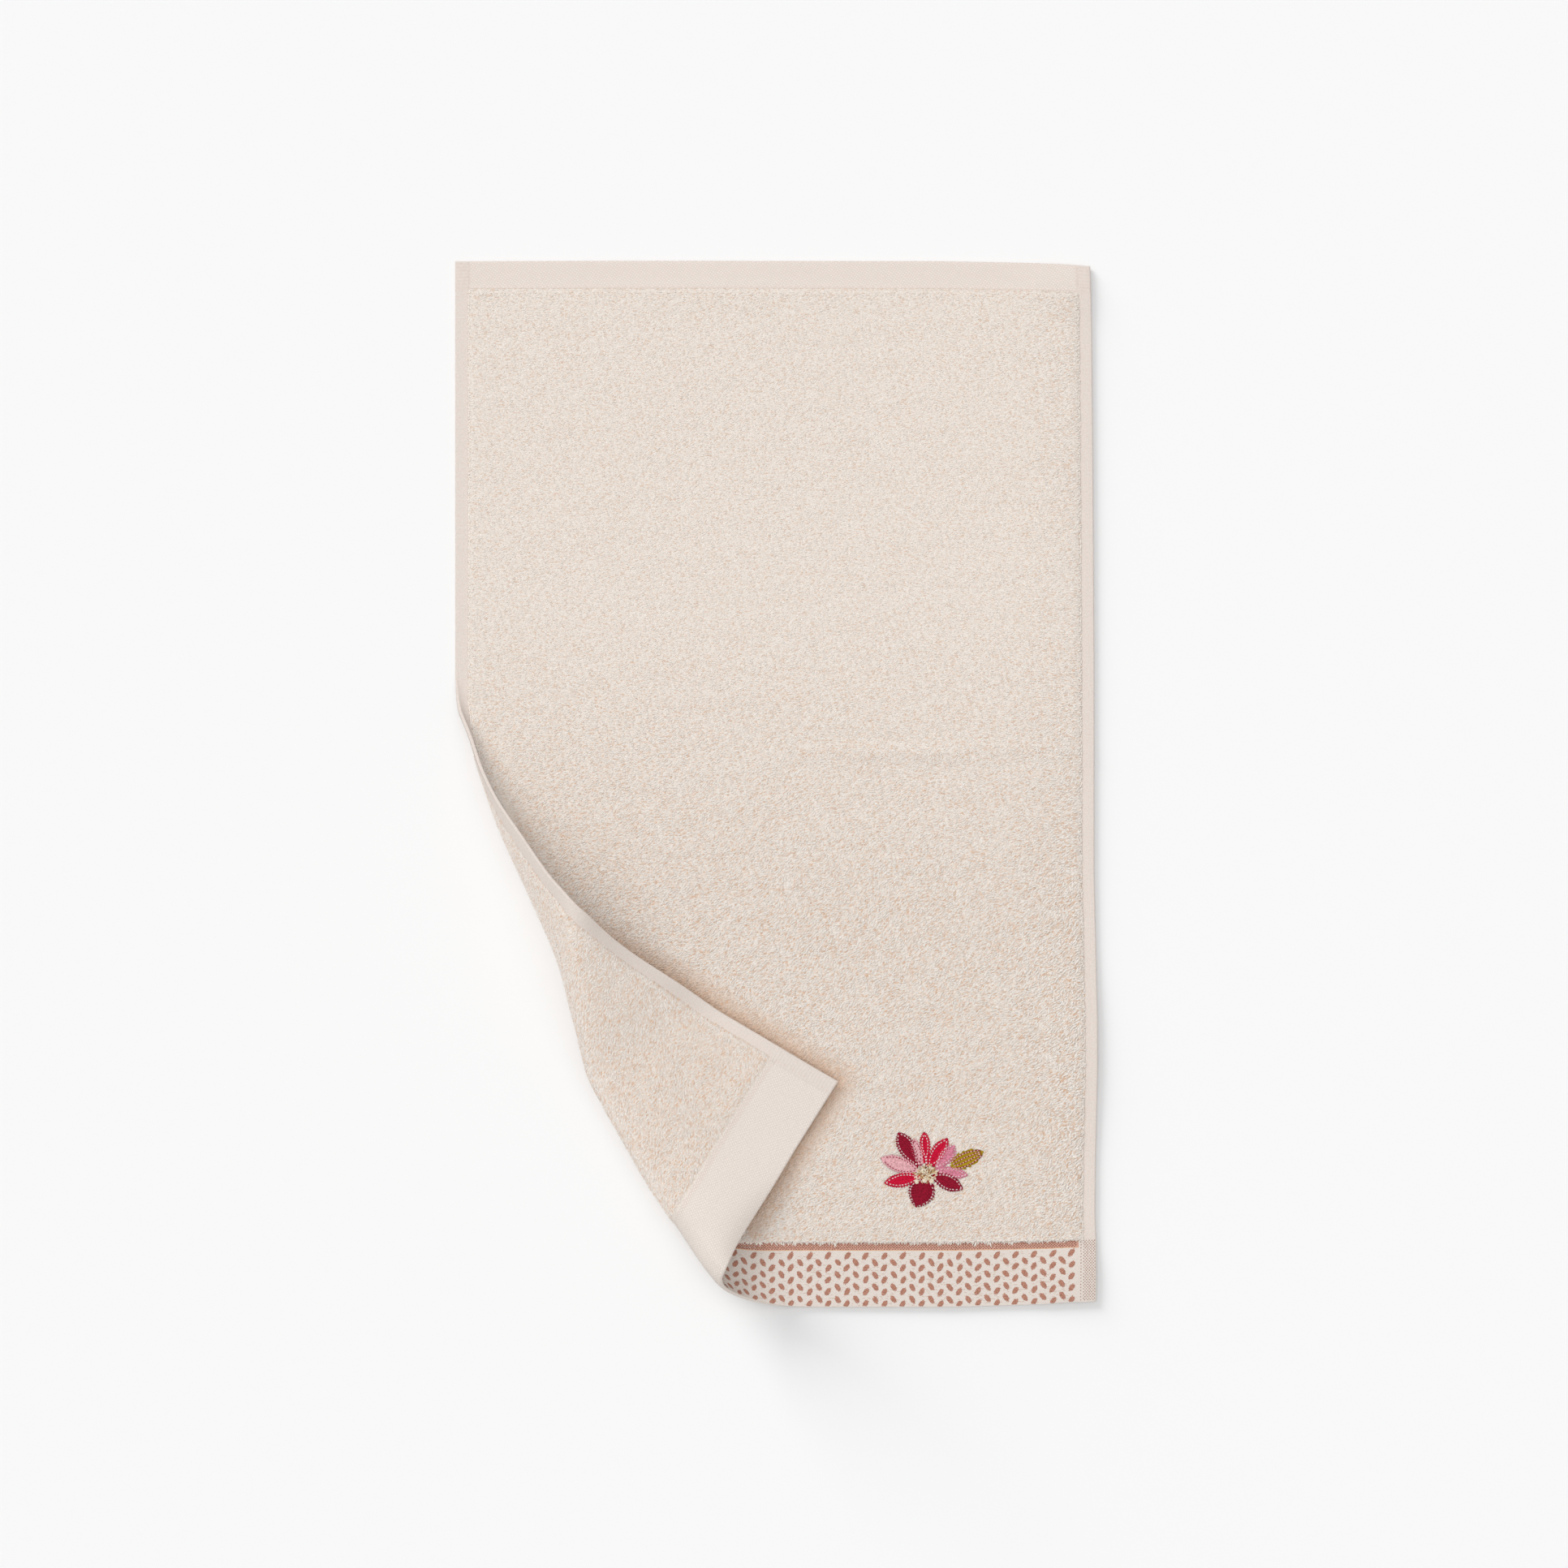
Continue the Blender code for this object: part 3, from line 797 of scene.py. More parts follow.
def build_cloth():
    """The towel's ground: terry field, hems and band, each a closed slab."""
    us = cloth_lines(WIDTH, FOLDED_U, [u for u, _ in ACROSS])
    vs = cloth_lines(LENGTH, FOLDED_V, [BAND_FRONT + PILE_EDGE, *(v for v, _ in ALONG)])
    rows = between(vs, BAND_FRONT, FIELD_TOP)
    field = cloth_piece("towel_cloth", between(us, SIDE_HEM, FIELD_RIGHT), rows,
                        "terry ground", "band back", "terry underside")
    return field, [
        cloth_piece("side_hem_left", between(us, 0, SIDE_HEM), rows, "hem weave"),
        cloth_piece("side_hem_right", between(us, FIELD_RIGHT, WIDTH), rows, "hem weave"),
        cloth_piece("top_hem", us, between(vs, FIELD_TOP, LENGTH), "hem twill"),
        cloth_piece("band_cloth", us, between(vs, 0, BAND_FRONT), "band ground"),
    ]


# === Pile ===

def petal_half_width(t, petal):
    """Half of a petal's width, at share t of its length."""
    t = np.clip(t, 0.0, 1.0) ** (math.log(0.5) / math.log(petal.widest))
    return petal.width * PETAL_FULLNESS * MM / 2 * np.sin(np.pi * t) ** PETAL_ROUNDNESS


def petal_base(petal):
    """Where a petal starts, in cloth coordinates, and its direction in radians."""
    return FLOWER[0] + petal.x * MM, FLOWER[1] + petal.y * MM, math.radians(petal.lean)


def under_embroidery(u, v, margin):
    """Where the embroidery covers the pile."""
    away = ((u - FLOWER[0]) / CENTRE_SIZE[0]) ** 2 + ((v - FLOWER[1]) / CENTRE_SIZE[1]) ** 2
    covered = away < 1.0
    for petal in PETALS:
        start_u, start_v, lean = petal_base(petal)
        length = petal.length * MM
        along, aside = turned(u - start_u, v - start_v, -lean)
        inside = (along > -margin) & (along < length + margin)
        covered |= inside & (np.abs(aside) < petal_half_width(along / length, petal) + margin)
    return covered


def pile_angle(u, v, side):
    """The direction in which the loops lie, in radians from +u."""
    swirl = waves(u, v, PILE_SWIRLS)
    if side == BACK:
        return np.radians(swirl + BACK_LEAN)
    lower = ramp(v, *TURNED_BELOW)
    beside_hem = ramp(u, *TURNED_BESIDE_HEM)
    return np.radians(swirl + TOP_LEAN + LOWER_LEAN * lower + HEM_LEAN * lower * beside_hem)


def loop_places(low_v, high_v):
    """A jittered grid of loop positions in the terry field."""
    us = np.arange(SIDE_HEM + 0.3 * MM, FIELD_RIGHT - 0.1 * MM, LOOP_PITCH_U)
    vs = np.arange(low_v, high_v, LOOP_PITCH_V)
    u, v = np.meshgrid(us, vs)
    u[1::2] += LOOP_PITCH_U / 2
    u = u + spread(-LOOP_JITTER[0], LOOP_JITTER[0], u.shape) * LOOP_PITCH_U
    v = v + spread(-LOOP_JITTER[1], LOOP_JITTER[1], v.shape) * LOOP_PITCH_V
    inside = (u > SIDE_HEM - 0.2 * MM) & (u < FIELD_RIGHT + 0.6 * MM)
    return u[inside], v[inside]


def disturbance(u, v):
    """1 along the faint line across the towel where the loops lie every way, 0 away from it."""
    middle = LINE_V
    for swing, length in LINE_WAVES:
        middle = middle + swing * np.sin(u / length)
    across = np.exp(-((v - middle) / LINE_WIDTH) ** 2)
    return across * ramp(u, LINE_REACH[0], LINE_REACH[0] + LINE_FADE) * (u < LINE_REACH[1])


def lower_share(v):
    """0 in the towel's upper part, rising to 1 in its lower half, where the pile is coarser."""
    return ramp(v, *COARSE_BELOW)


def loops(name, u, v, side, fabric):
    """Terry loops at the given places."""
    loose = disturbance(u, v) if side == FRONT else np.zeros(len(u))
    angle = pile_angle(u, v, side) + np.radians(scatter(LOOP_TURN * (1 + 1.5 * loose), u))
    lower = lower_share(v)
    beside_hem = ramp(u, *COARSE_BESIDE_HEM) * (side == FRONT)
    size = 1.0 + COARSER[0] * lower + COARSER[1] * beside_hem
    length = spread(*LOOP_LENGTH, len(u)) * size
    width = spread(*LOOP_WIDTH, len(u)) * size
    # the dark loops are painted shade between the loops; they also lie lower
    sunk = spread(0.0, 1.0, len(u)) ** SUNK_RARITY * (SUNK[0] + (SUNK[1] - SUNK[0]) * lower)
    rise = spread(*LOOP_HEIGHTS, len(u)) + waves(u, v, PILE_CLUMPS) + 0.25 * loose
    rise = LOOP_REACH * size**2 * rise * (1 - SUNK_DEPTH * sunk)
    rise = rise * (LOOP_RISE[0] + (LOOP_RISE[1] - LOOP_RISE[0]) * lower)
    if side == FRONT:
        # the pile beside the turned-back corner gets painted shade
        shown = (1 - sunk) * (1 - CORNER_SHADE_SHARE * corner_shade(u, v))
    else:
        # painted light: where the turned-back corner is steep, its loops show more of their light
        # colour
        steep = steepness(u, v)
        rise = rise * (1 - STEEP_FLATNESS * steep)
        shown = (1 - sunk) * (BACK_SHOWN + (1 - BACK_SHOWN) * steep)
    lines = grain(u, v, angle, length, rise, scatter(LOOP_BEND, u), LOOP_SHAPE)
    return threads(name, lines, width, LOOP_DEPTH, side, fabric, shown, LOOP_ENDS)


def steepness(u, v):
    """How steep the turned-back cloth is: 0 where it lies level, 1 from STEEP on."""
    _, _, _, out = cloth_frames(u, v, BACK)
    return np.clip((1 - out[:, 2]) / STEEP, 0, 1)


def build_pile():
    """Loops over the front of the field, and over its back where the corner shows it."""
    pieces = []
    edges = np.linspace(BAND_FRONT + 0.4 * MM, FIELD_TOP - 0.1 * MM, PILE_PIECES + 1)
    for i, (low, high) in enumerate(zip(edges, edges[1:])):
        u, v = loop_places(low, high)
        hidden = deep_in_fold(u, v) | under_embroidery(u, v, SEWN_MARGIN)
        pieces.append(loops(f"pile_front_{i + 1}", u[~hidden], v[~hidden], FRONT, "terry loops"))
    u, v = loop_places(BAND_BACK + 0.2 * MM, FOLDED_V)
    shown = past_foot(u, v) > BACK_LOOPS_FADE / 2
    pieces.append(loops("pile_back", u[shown], v[shown], BACK, "terry loops back"))
    return pieces


def on_top(u, v):
    """Where the turned-back cloth above each lying point comes from, and what is turned back."""
    s, q = fold_coordinates(*flat_position(u, v))
    rows = section_rows(s)
    curve = section_curves(rows[:, :-1])
    around = np.linalg.norm(np.diff(curve, axis=1), axis=2).sum(1)
    foot, land = rows[:, 0], curve[:, -1, 0]
    over = q < foot
    s = np.where(over, s, s - rows[:, -1])
    q = np.where(over, q, foot - np.maximum(around + q - land, 0.0))
    x, y = out_of_fold(s, q)
    return x + WIDTH / 2, y + LENGTH / 2, over


def deep_in_fold(u, v):
    """Front places shut in between the lying cloth and the corner on top of it."""
    above_u, above_v, _ = on_top(u, v)
    s, q = fold_coordinates(above_u - WIDTH / 2, above_v - LENGTH / 2)
    inside = q < section_rows(s)[:, 0]
    return inside & (above_u > FOLD_DEPTH_U) & (above_v > FOLD_DEPTH_V)


def corner_shade(u, v):
    """Painted shade beside the turned-back corner: 1 under it, falling to 0 away from the edge of
    its band.
    """
    above_u, above_v, over = on_top(u, v)
    near = np.clip(1 + above_v / CORNER_SHADE_REACH, 0, 1) * np.clip(1 + above_u / CORNER_SHADE_REACH, 0, 1)
    return np.where(over, 0.0, near)


def fringe(name, u, v, angle, length, rise, width):
    """Loops that hang over an edge of the field."""
    lines = grain(u, v, angle, length, rise, scatter(FRINGE_BEND, u))
    return threads(name, lines, width, LOOP_DEPTH, FRONT, "terry tufts", TUFTS_SHOWN, LOOP_ENDS)


def build_overhang():
    """Loops that hang over the stripe, in uneven tufts, and over the side hems' inner edges."""
    u = np.arange(SIDE_HEM, FIELD_RIGHT, OVERHANG_PITCH)
    u = u + spread(-0.5, 0.5, len(u)) * OVERHANG_PITCH
    middles = np.cumsum(spread(*TUFT_GAPS, int(WIDTH / TUFT_GAPS[0])))
    size = spread(0.35, 1.0, len(middles))
    pull = np.exp(-((u[:, None] - middles) / TUFT_WIDTH) ** 2) * size
    tuft = pull.sum(1)
    length = (2.6 + 1.8 * tuft + scatter(0.35, u)) * MM
    angle = np.radians(-90 + scatter(24, u) * (1 - 0.5 * tuft))
    v = BAND_FRONT + 1.1 * MM - length * 0.42 + scatter(0.2, u) * MM
    rise = LOOP_REACH * (1.1 + 0.5 * tuft)
    pieces = [fringe("pile_over_stripe", u, v, angle, length, rise, 0.52 * MM)]
    for name, edge, outward, low in (("pile_over_left_hem", SIDE_HEM, -1, BAND_BACK),
                                     ("pile_over_right_hem", FIELD_RIGHT, 1, BAND_FRONT)):
        v = np.arange(low, FIELD_TOP, 0.6 * MM)
        v = v + spread(-0.3, 0.3, len(v)) * MM
        long = np.clip(0.9 + 0.15 * outward + scatter(0.25, v), 0.5, 1.7)
        angle = np.radians(60 - 20 * outward + scatter(35, v))
        u = edge + outward * spread(-1.1, 0.1, len(v)) * MM
        pieces.append(fringe(name, u, v, angle, 1.8 * MM * long, LOOP_REACH * long, 0.6 * MM))
    return pieces


# === Weave and sewing ===

def ribs(name, starts, ends, stations, lift, width, side, fabric):
    """Long low ribs, each from a start to an end in cloth coordinates, a little wavy."""
    starts, ends = (np.stack(np.broadcast_arrays(*place), -1).reshape(-1, 2, 1)
                    for place in (starts, ends))
    t = np.linspace(0.0, 1.0, stations)
    t[1] = RIB_POINT / np.linalg.norm(ends[0] - starts[0])
    t[-2] = 1 - t[1]
    lines = starts + (ends - starts) * t
    wobble = scatter(RIB_WOBBLE * width, lines)
    wobble[..., 0], wobble[..., -1] = wobble[..., 1], wobble[..., -2]
    u, v = (lines + wobble).transpose(1, 0, 2)
    return threads(name, (u, v, np.full(u.shape, lift)), width, lift * 1.3, side, fabric)


def twill_dashes(name, low_u, high_u, low_v, high_v, side):
    """Slightly slanted rows of small floats, mirrored on the back, that line up as a twill."""
    reach = int((high_u - low_u) / TWILL_NEXT[0])
    counts = np.arange(-reach, reach)
    step, row = (grid.ravel() for grid in np.meshgrid(counts, counts))
    across = step * TWILL_STEP[0] + row * TWILL_NEXT[0]
    u = low_u + across if side == FRONT else high_u - across
    v = low_v + step * TWILL_STEP[1] + row * TWILL_NEXT[1]
    inside_u = (u > low_u + 0.6 * MM) & (u < high_u - 0.6 * MM)
    kept = inside_u & (v > low_v + 0.3 * MM) & (v < high_v)
    u, v = u[kept], v[kept]
    if side == BACK:
        folded = past_foot(u, v) > 0
        u, v = u[folded], v[folded]
    angle = np.full(len(u), math.atan2(TWILL_STEP[1], TWILL_STEP[0] * side))
    lines = grain(u, v, angle, 1.5 * MM, spread(0.07, 0.11, len(u)) * MM, 0)
    return threads(name, lines, 0.66 * MM, 0.12 * MM, side, "hem twill")


def stitch_line(start, end):
    """Middles of the stitches along a seam, and its direction."""
    start, end = np.array(start), np.array(end)
    count = int(np.linalg.norm(end - start) / STITCH_PITCH)
    t = (np.arange(count) + 0.5) / count
    places = start + (end - start) * t[:, None]
    angle = math.atan2(end[1] - start[1], end[0] - start[0])
    return places[:, 0], places[:, 1], np.full(count, angle)


def build_seams():
    """Stitches along the hems' inner edges, on the front and on the turned-back corner."""
    left, right = SIDE_HEM - 0.3 * MM, FIELD_RIGHT + 0.3 * MM
    top, high = FIELD_TOP + 0.4 * MM, LENGTH - 0.8 * MM
    band = BAND_BACK - 0.5 * MM
    seams = (
        ("seam_left", (left, BAND_BACK), (left, high), FRONT),
        ("seam_right", (right, BAND_FRONT), (right, high), FRONT),
        ("seam_top", (left, top), (right, top), FRONT),
        ("seam_back_side", (left, 1 * MM), (left, BACK_SHOWN_V), BACK),
        ("seam_back_band", (0.8 * MM, band), (BACK_SHOWN_U, band), BACK),
    )
    pieces = []
    for name, start, end, side in seams:
        lines = grain(*stitch_line(start, end), 2.1 * MM, 0.12 * MM, 0)
        pieces.append(threads(name, lines, 0.34 * MM, 0.14 * MM, side, "sewing thread"))
    return pieces


def build_hem_weave():
    """Ribs of the side hems and twill of the top hem and of the band's back."""
    left = np.arange(0.75 * MM, SIDE_HEM - 0.6 * MM, HEM_RIB_PITCH)
    right = WIDTH - left
    top = FIELD_TOP + 0.8 * MM
    hem_v = np.arange(top + 0.6 * MM, LENGTH - 0.5 * MM, END_RIB_PITCH)
    band_v = np.arange(1.2 * MM, BAND_BACK - 1 * MM, END_RIB_PITCH)
    table = (
        # name, from, to, stations, height and width, side
        ("ribs_left", (left, BAND_FRONT), (left, FIELD_TOP), 300, HEM_RIB, FRONT),
        ("ribs_right", (right, BAND_FRONT), (right, FIELD_TOP), 120, HEM_RIB, FRONT),
        ("ribs_back", (left, BAND_BACK), (left, BACK_SHOWN_V), 160, HEM_RIB, BACK),
        ("hem_end_left", (0.5 * MM, hem_v), (SIDE_HEM, hem_v), 8, END_RIB, FRONT),
        ("hem_end_right", (FIELD_RIGHT, hem_v), (WIDTH - 0.5 * MM, hem_v), 8, END_RIB, FRONT),
        ("band_end_back", (0.5 * MM, band_v), (BACK_END, band_v), 8, END_RIB, BACK),
    )
    return [
        *[ribs(name, start, end, stations, *size, side, "hem weave")
          for name, start, end, stations, size, side in table],
        twill_dashes("top_hem_twill", SIDE_HEM, FIELD_RIGHT, top, LENGTH - 0.4 * MM, FRONT),
        twill_dashes("band_back_twill", BACK_END, BACK_SHOWN_U, 0.5 * MM, BAND_BACK - 1 * MM,
                     BACK),
    ]


def build_band():
    """The woven band: ribbed ground with flecks, brown stripe, seeds and dotted selvage."""
    low, high = SIDE_HEM + 0.5 * MM, BAND_RIGHT
    rows = np.arange(0.6 * MM, STRIPE[0] - 0.3 * MM, BAND_RIB_PITCH)
    return [
        ribs("band_ribs", (low, rows), (WIDTH - 0.8 * MM, rows), 150, 0.08 * MM, 0.8 * MM,
             FRONT, "band ground"),
        *[ribs(f"stripe_ground_{i + 1}", (SIDE_HEM, v), (high, v), 300, 0.10 * MM,
               STRIPE_RIB_WIDTH, FRONT, "stripe tan")
          for i, v in enumerate(np.linspace(*STRIPE, 7)[1::2])],
        ribs("stripe_edge", (SIDE_HEM, STRIPE[0]), (high, STRIPE[0]), 200, 0.16 * MM, 0.5 * MM,
             FRONT, "stripe edge"),
        stripe_weave(low, high),
        flecks(low, high),
        seeds(low, high),
        selvage_dots(),
    ]


def stripe_weave(low, high):
    """Dark marks of painted shade in the gaps between the stripe's floats, in staggered rows."""
    us = np.arange(low, high - 0.8 * MM, STRIPE_GAP_PITCH[0])
    vs = np.arange(STRIPE[0] + 0.55 * MM, STRIPE[1] - 0.2 * MM, STRIPE_GAP_PITCH[1])
    u, v = np.meshgrid(us, vs)
    u[1::2] += STRIPE_GAP_PITCH[0] / 2
    u = u + scatter(0.07 * MM, u)
    v = v + scatter(0.04 * MM, v)
    angle = STRIPE_LEAN + scatter(0.12, u)
    lines = grain(u, v, angle, STRIPE_GAP_SIZE[0], 0.20 * MM, 0)
    return threads("stripe_weave", lines, STRIPE_GAP_SIZE[1], 0.08 * MM, FRONT, "stripe gap shade")


def seeds(low, high):
    """Seed shapes in slanted columns, each of a few floats side by side.

    The columns are evenly spaced where the cloth lies, also where its edge wanders out.
    """
    columns = np.arange(-30, 12) * SEED_PITCH_U + SEED_FIRST_U
    parts = []
    for rows, offset, lean in ((SEED_ROWS_RIGHT, 0.0, 1), (SEED_ROWS_LEFT, SEED_PITCH_U / 2, -1)):
        for v in rows:
            us = columns + offset
            us = us - edge_offset(RIGHT_EDGE, v * MM) * near_edge(WIDTH - us)
            us = us[(us > low + 2 * MM) & (us < high - 2 * MM)]
            parts.append((us, np.full(len(us), v * MM), np.full(len(us), lean)))
    u, v, lean = (np.concatenate(part) for part in zip(*parts))
    u = u + scatter(0.12 * MM, u)
    v = v + scatter(0.12 * MM, v)
    turn = np.radians(90 - lean * (SEED_LEAN + scatter(3, u)))[:, None]
    share = (np.arange(SEED_FLOATS) + 0.5) / SEED_FLOATS * 2 - 1
    aside = np.outer(np.ones(len(u)), share * SEED_WIDTH / 2)
    size = 1 + scatter(0.05, u)[:, None]
    length = SEED_LENGTH * size * (0.15 + 0.85 * np.sqrt(1 - share**2))
    length = length + scatter(0.16 * MM, aside)
    shift = scatter(0.13 * MM, aside)
    du, dv = turned(shift, aside, turn)
    angle = np.broadcast_to(turn, aside.shape)
    u, v, lift = grain(u[:, None] + du, v[:, None] + dv, angle, length, 0.24 * MM, 0, SEED_SHAPE)
    lines = u, np.maximum(v, SEED_LOWEST), lift
    return threads("seeds", lines, 0.42 * MM, 0.14 * MM, FRONT, "band brown")


def flecks(low, high):
    """Thin short floats of the brown yarn between the seeds."""
    u = spread(low + 2 * MM, high - 2 * MM, FLECKS)
    row = CHANCE.integers(0, int((STRIPE[0] - 1 * MM) / BAND_RIB_PITCH), FLECKS)
    v = (row + 0.5) * BAND_RIB_PITCH + 0.6 * MM
    angle = np.radians(scatter(4, u))
    lines = grain(u, v, angle, spread(0.8, 2.2, FLECKS) * MM, 0.10 * MM, 0)
    return threads("flecks", lines, 0.24 * MM, 0.06 * MM, FRONT, "flecks")


def selvage_dots():
    """Small brown stitches in staggered columns at the band's right end."""
    columns = [LONE_COLUMN, *np.arange(*SELVAGE, DOT_PITCH[0])]
    vs = np.arange(1.2 * MM, SELVAGE_TOP, DOT_PITCH[1])
    u, v = (grid.ravel() for grid in np.meshgrid(columns, vs, indexing="ij"))
    v = v + np.repeat(np.arange(len(columns)) % 2, len(vs)) * DOT_PITCH[1] / 2
    u = u + scatter(0.06 * MM, u)
    angle = np.radians(90 + CHANCE.choice([-30, 30], len(u)))
    length = DOT_SIZE[0] * spread(0.8, 1.2, len(u))
    lines = grain(u, v, angle, length, 0.16 * MM, 0)
    return threads("selvage_dots", lines, DOT_SIZE[1], 0.1 * MM, FRONT, "selvage brown")


# === Embroidery ===

def stroke(start, end, low, high):
    """Ridge line of stitches that go from start to end, arched from low up to high."""
    t = STITCH_STATIONS
    line = [a.reshape(-1, 1) + (b - a).reshape(-1, 1) * t for a, b in zip(start, end)]
    lift = low + (high - low) * np.sin(np.pi * t) ** 0.6
    return line[0], line[1], np.broadcast_to(lift, line[0].shape)


def stroke_about(u, v, reach_u, reach_v, low, high):
    """Ridge lines of stitches that reach equally far both ways from u and v."""
    return stroke((u - reach_u, v - reach_v), (u + reach_u, v + reach_v), low, high)


def on_petal(petal, along, aside):
    """Cloth coordinates of a place on a petal, from its base and its midline."""
    start_u, start_v, lean = petal_base(petal)
    du, dv = turned(along, aside, lean)
    return start_u + du, start_v + dv


def petal_stitches(petal, level):
    """Satin stitches slanting out from a petal's midline over a few padding stitches."""
    length, width = petal.length * MM, petal.width * PETAL_FULLNESS * MM
    widest = width / 2 * np.array(PADDING)
    pad = stroke(on_petal(petal, np.full(len(PADDING), 0.06 * length), widest * 0.7),
                 on_petal(petal, 0.95 * length - np.abs(widest), widest * 0.8),
                 0.30 * MM, 0.42 * MM)
    parts = [(pad, width * 0.30)]
    for side in (1, -1):
        start = np.arange(-0.30 * width, 0.99 * length, SATIN_PITCH)
        number = np.arange(len(start))
        ragged = RAGGEDNESS * (number % 2) + scatter(0.08 * MM, start)
        if petal.thread == "mustard":
            stitches, deep = LEAF_TEETH
            ragged = ragged / 2 + deep * (1 - number % stitches / (stitches - 1))
        slant = SATIN_SLANT * min(1.0, SLANTED_WIDTH / width)
        end = start + slant * petal_half_width(np.clip(start / length, 0.03, 1), petal)
        end = np.clip(end, 0.03 * length, length)
        reach = np.maximum(petal_half_width(end / length, petal) - ragged, 0.25 * MM)
        start = np.clip(start, 0.0, 0.95 * length)
        ridge = stroke(on_petal(petal, start, -side * 0.05 * reach),
                       on_petal(petal, end, side * reach), level, level + 0.20 * MM)
        parts.append((ridge, SATIN_WIDTH))
    return petal.thread, parts


def petal_dashes(petal, level):
    """Running stitches just inside a petal's outline, or in lines along the leaf."""
    length = petal.length * MM
    t = np.arange(0.10, 0.93, DASH_PITCH / length)
    edge = petal_half_width(t, petal)
    if petal.thread == "mustard":
        return [
            (thread, [dashes(petal, t * length + shift, edge * share, level)
                      for share in LEAF_LINES])
            for thread, shift in ((petal.dashes, 0.0), ("dark_red", DASH_PITCH / 2))
        ]
    inset = np.maximum(edge - DASH_INSET, 0.2 * MM)
    return [(petal.dashes, [dashes(petal, t * length, aside, level) for aside in (inset, -inset)])]


def dashes(petal, along, aside, level):
    """One line of running stitches on a petal."""
    along = along + scatter(0.06 * MM, along)
    slope = np.gradient(aside, along)
    half = DASH_LENGTH / 2 / np.sqrt(1 + slope**2)
    ridge = stroke(on_petal(petal, along - half, aside - half * slope),
                   on_petal(petal, along + half, aside + half * slope), level, level + 0.34 * MM)
    return ridge, DASH_WIDTH


def flower_middle():
    """Short stitches that radiate from the flower's middle, in two tones over a dark pad of
    painted shade, and a few knots.
    """
    du, dv = turned(0.8, 0.0, np.linspace(0.0, math.pi, 9)[:-1])
    pad = stroke_about(*FLOWER, CENTRE_SIZE[0] * du, CENTRE_SIZE[1] * dv, 0.4 * MM, 0.72 * MM)
    groups = [("gold_shade", [(pad, 2.6 * MM)])]
    for thread, reach, rise in (("gold", 1.05, 1.05), ("straw", 1.02, 1.25)):
        far = np.sqrt(spread(0.0, 1.0, CENTRE_STITCHES)) * reach
        around = spread(0.0, 2 * math.pi, CENTRE_STITCHES)
        du, dv = turned(far, 0.0, around)
        lean = around + scatter(0.5, around)
        reach = turned(spread(0.4, 1.05, CENTRE_STITCHES) * MM, 0.0, lean)
        ridge = stroke_about(FLOWER[0] + CENTRE_SIZE[0] * du, FLOWER[1] + CENTRE_SIZE[1] * dv,
                             *reach, 0.5 * MM, rise * MM)
        groups.append((thread, [(ridge, 0.38 * MM)]))
    groups.append(("straw", [knot(x, y, math.radians(lean)) for x, y, lean in KNOTS]))
    return groups


def knot(x, y, lean):
    """A small bead of thread wound side by side, at x and y in mm from the flower's middle."""
    share = np.array([-0.75, -0.25, 0.25, 0.75])
    half = KNOT_SIZE[0] / 2 * np.sqrt(1 - share**2)
    du, dv = turned(0.0, KNOT_SIZE[1] / 2 * share, lean)
    ridge = stroke_about(FLOWER[0] + x * MM + du, FLOWER[1] + y * MM + dv,
                         *turned(half, 0.0, lean), 0.6 * MM, 1.5 * MM)
    return ridge, 0.62 * MM


def build_embroidery():
    """One piece for each colour of thread."""
    groups = []
    for i, petal in enumerate(PETALS):
        level = (0.46 + 0.035 * i) * MM
        groups.append(petal_stitches(petal, level))
        groups += petal_dashes(petal, level + 0.14 * MM)
    groups += flower_middle()
    gathered = {}
    for thread, parts in groups:
        gathered.setdefault(thread, []).extend(parts)
    pieces = []
    for thread, parts in gathered.items():
        lines = [np.concatenate([ridge[i] for ridge, _ in parts]) for i in range(3)]
        width = np.concatenate([np.full(len(ridge[0]), wide) for ridge, wide in parts])
        pieces.append(threads(f"stitched_{thread}", lines, width, 0.28 * MM, FRONT,
                              f"thread {thread}"))
    return pieces


# === Scene ===


def main():
    """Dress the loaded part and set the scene."""
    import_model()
    for item in list(bpy.data.objects):
        if item.type in ("CAMERA", "LIGHT"):
            bpy.data.objects.remove(item)
    for name, (_, *look) in FABRICS.items():
        weave(name, *look)

    field, hems = build_cloth()
    pieces = [
        *hems,
        *build_pile(),
        *build_overhang(),
        *build_hem_weave(),
        *build_seams(),
        *build_band(),
        *build_embroidery(),
    ]

    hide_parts("towel")
    build_surroundings()


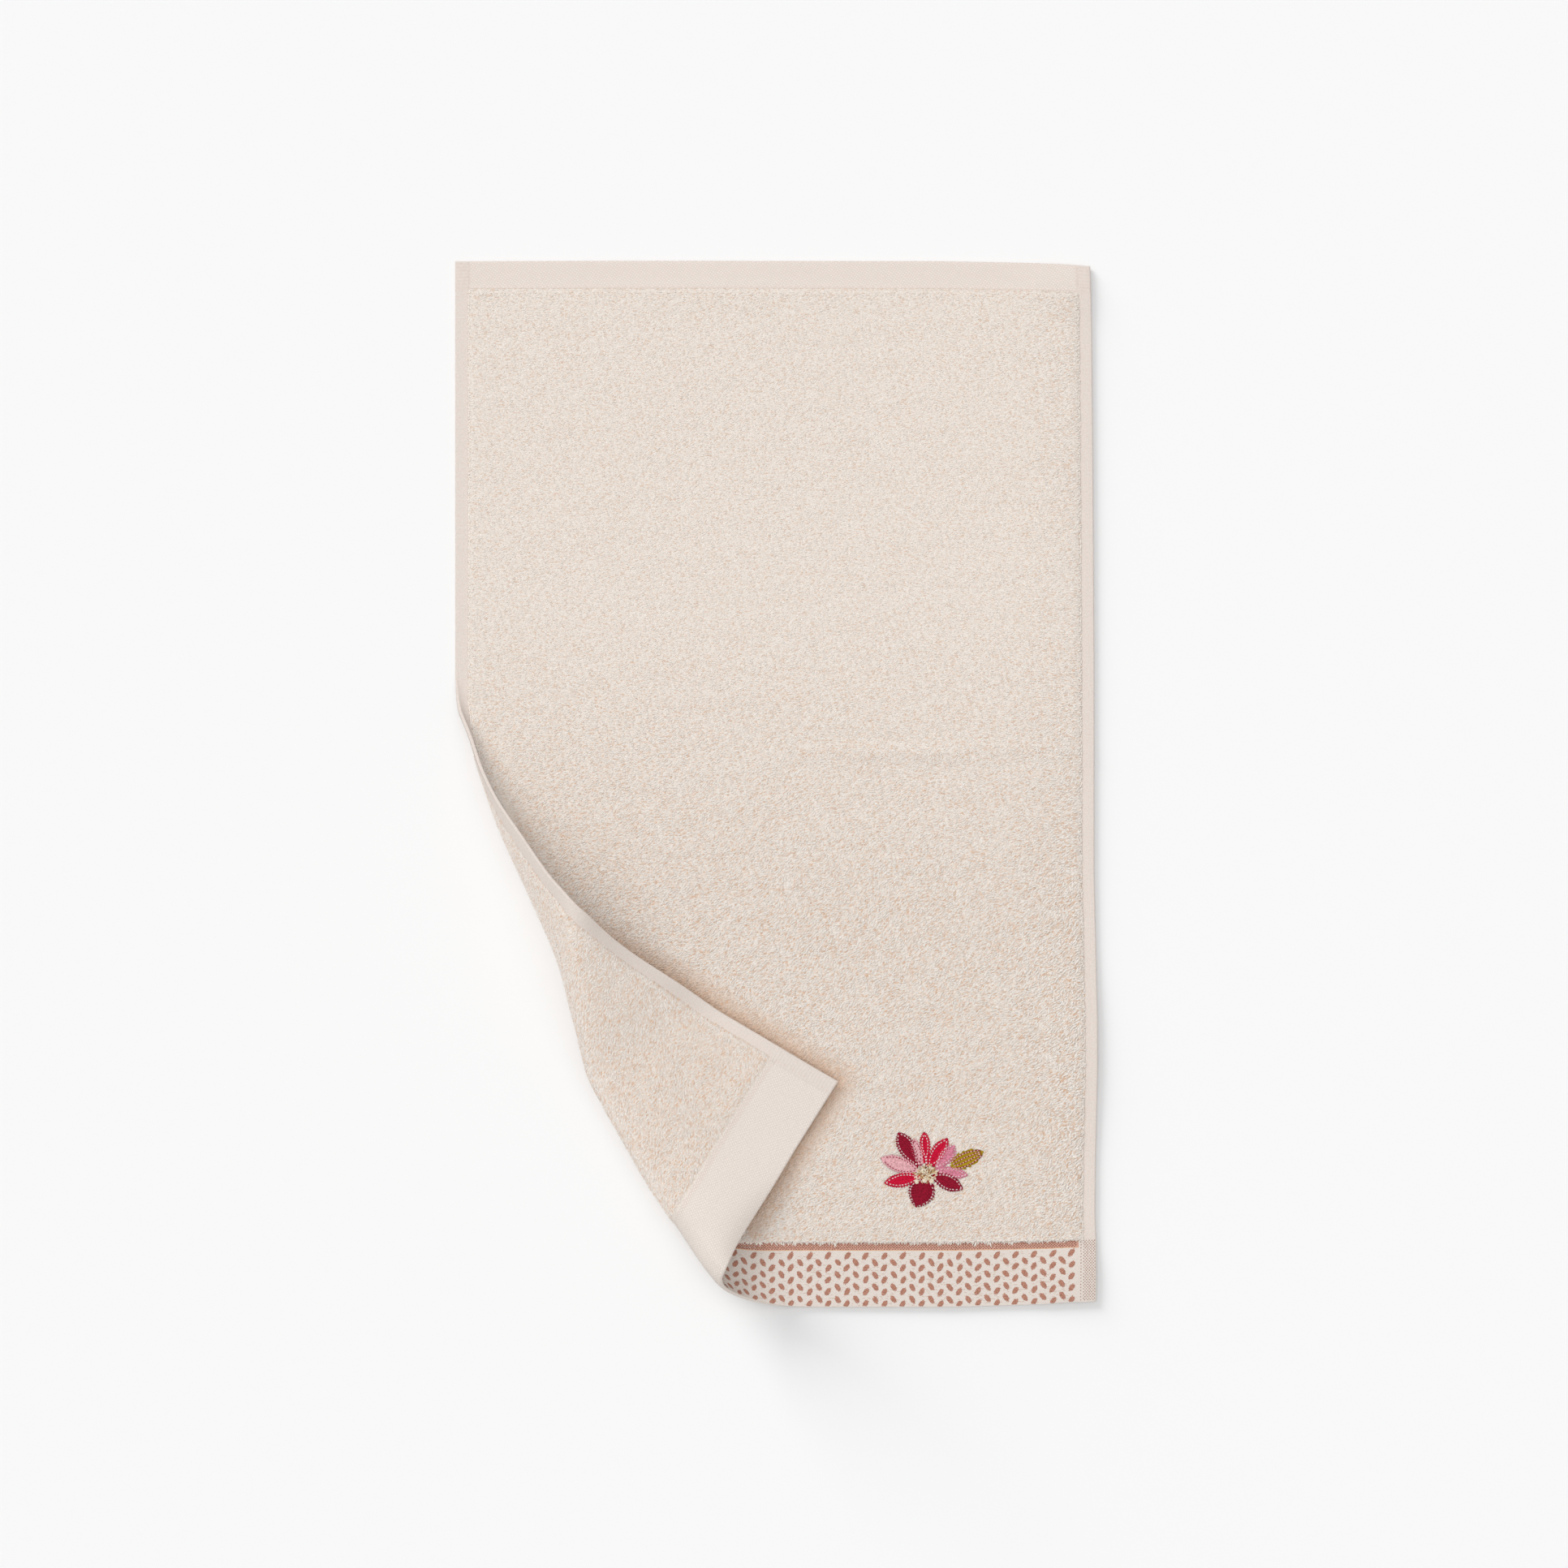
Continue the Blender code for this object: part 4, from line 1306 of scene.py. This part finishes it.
def build_surroundings():
    """Pale floor, soft light from the upper left, and the camera straight above."""
    scene = bpy.context.scene
    mesh = bpy.data.meshes.new("floor")
    corners = [(x * FLOOR_REACH, y * FLOOR_REACH, 0)
               for x, y in ((-1, -1), (1, -1), (1, 1), (-1, 1))]
    mesh.from_pydata(corners, [], [(0, 1, 2, 3)])
    floor = bpy.data.objects.new("floor", mesh)
    scene.collection.objects.link(floor)
    paper = bpy.data.materials.new("floor paper")
    paper.use_nodes = True
    put(paper.node_tree.nodes["Principled BSDF"], {"Base Color": PAPER, "Roughness": 1.0})
    mesh.materials.append(paper)

    world = bpy.data.worlds.new("daylight")
    world.use_nodes = True
    put(world.node_tree.nodes["Background"], {"Color": (1, 1, 1, 1), "Strength": SKY})
    scene.world = world
    add_lights(scene, floor)

    camera = bpy.data.cameras.new("camera")
    camera.lens = CAMERA_LENS
    camera.sensor_width = CAMERA_SENSOR
    camera.clip_start, camera.clip_end = CAMERA_RANGE
    eye = bpy.data.objects.new("camera", camera)
    eye.location = CAMERA_PLACE
    scene.collection.objects.link(eye)
    scene.camera = eye
    scene.view_settings.view_transform = "Standard"


def add_lights(scene, floor):
    """Suns that each light everything or only some of the objects."""
    corner = bpy.data.objects["pile_back"]
    chosen = {
        "floor": ("INCLUDE", [floor]),
        "towel": ("EXCLUDE", [floor]),
        "lying cloth": ("EXCLUDE", [floor, corner]),
        "corner": ("INCLUDE", [corner]),
    }
    for name, energy, softness, tilt_x, tilt_y, lights in LIGHTS:
        sun = bpy.data.lights.new(name, "SUN")
        sun.energy = energy
        sun.angle = math.radians(softness)
        lamp = bpy.data.objects.new(name, sun)
        lamp.rotation_euler = (math.radians(tilt_x), math.radians(tilt_y), 0)
        scene.collection.objects.link(lamp)
        if lights in chosen:
            state, objects = chosen[lights]
            receivers = bpy.data.collections.new(f"what {name} lights")
            for obj in objects:
                receivers.objects.link(obj)
            for receiver in receivers.collection_objects:
                receiver.light_linking.link_state = state
            lamp.light_linking.receiver_collection = receivers


main()
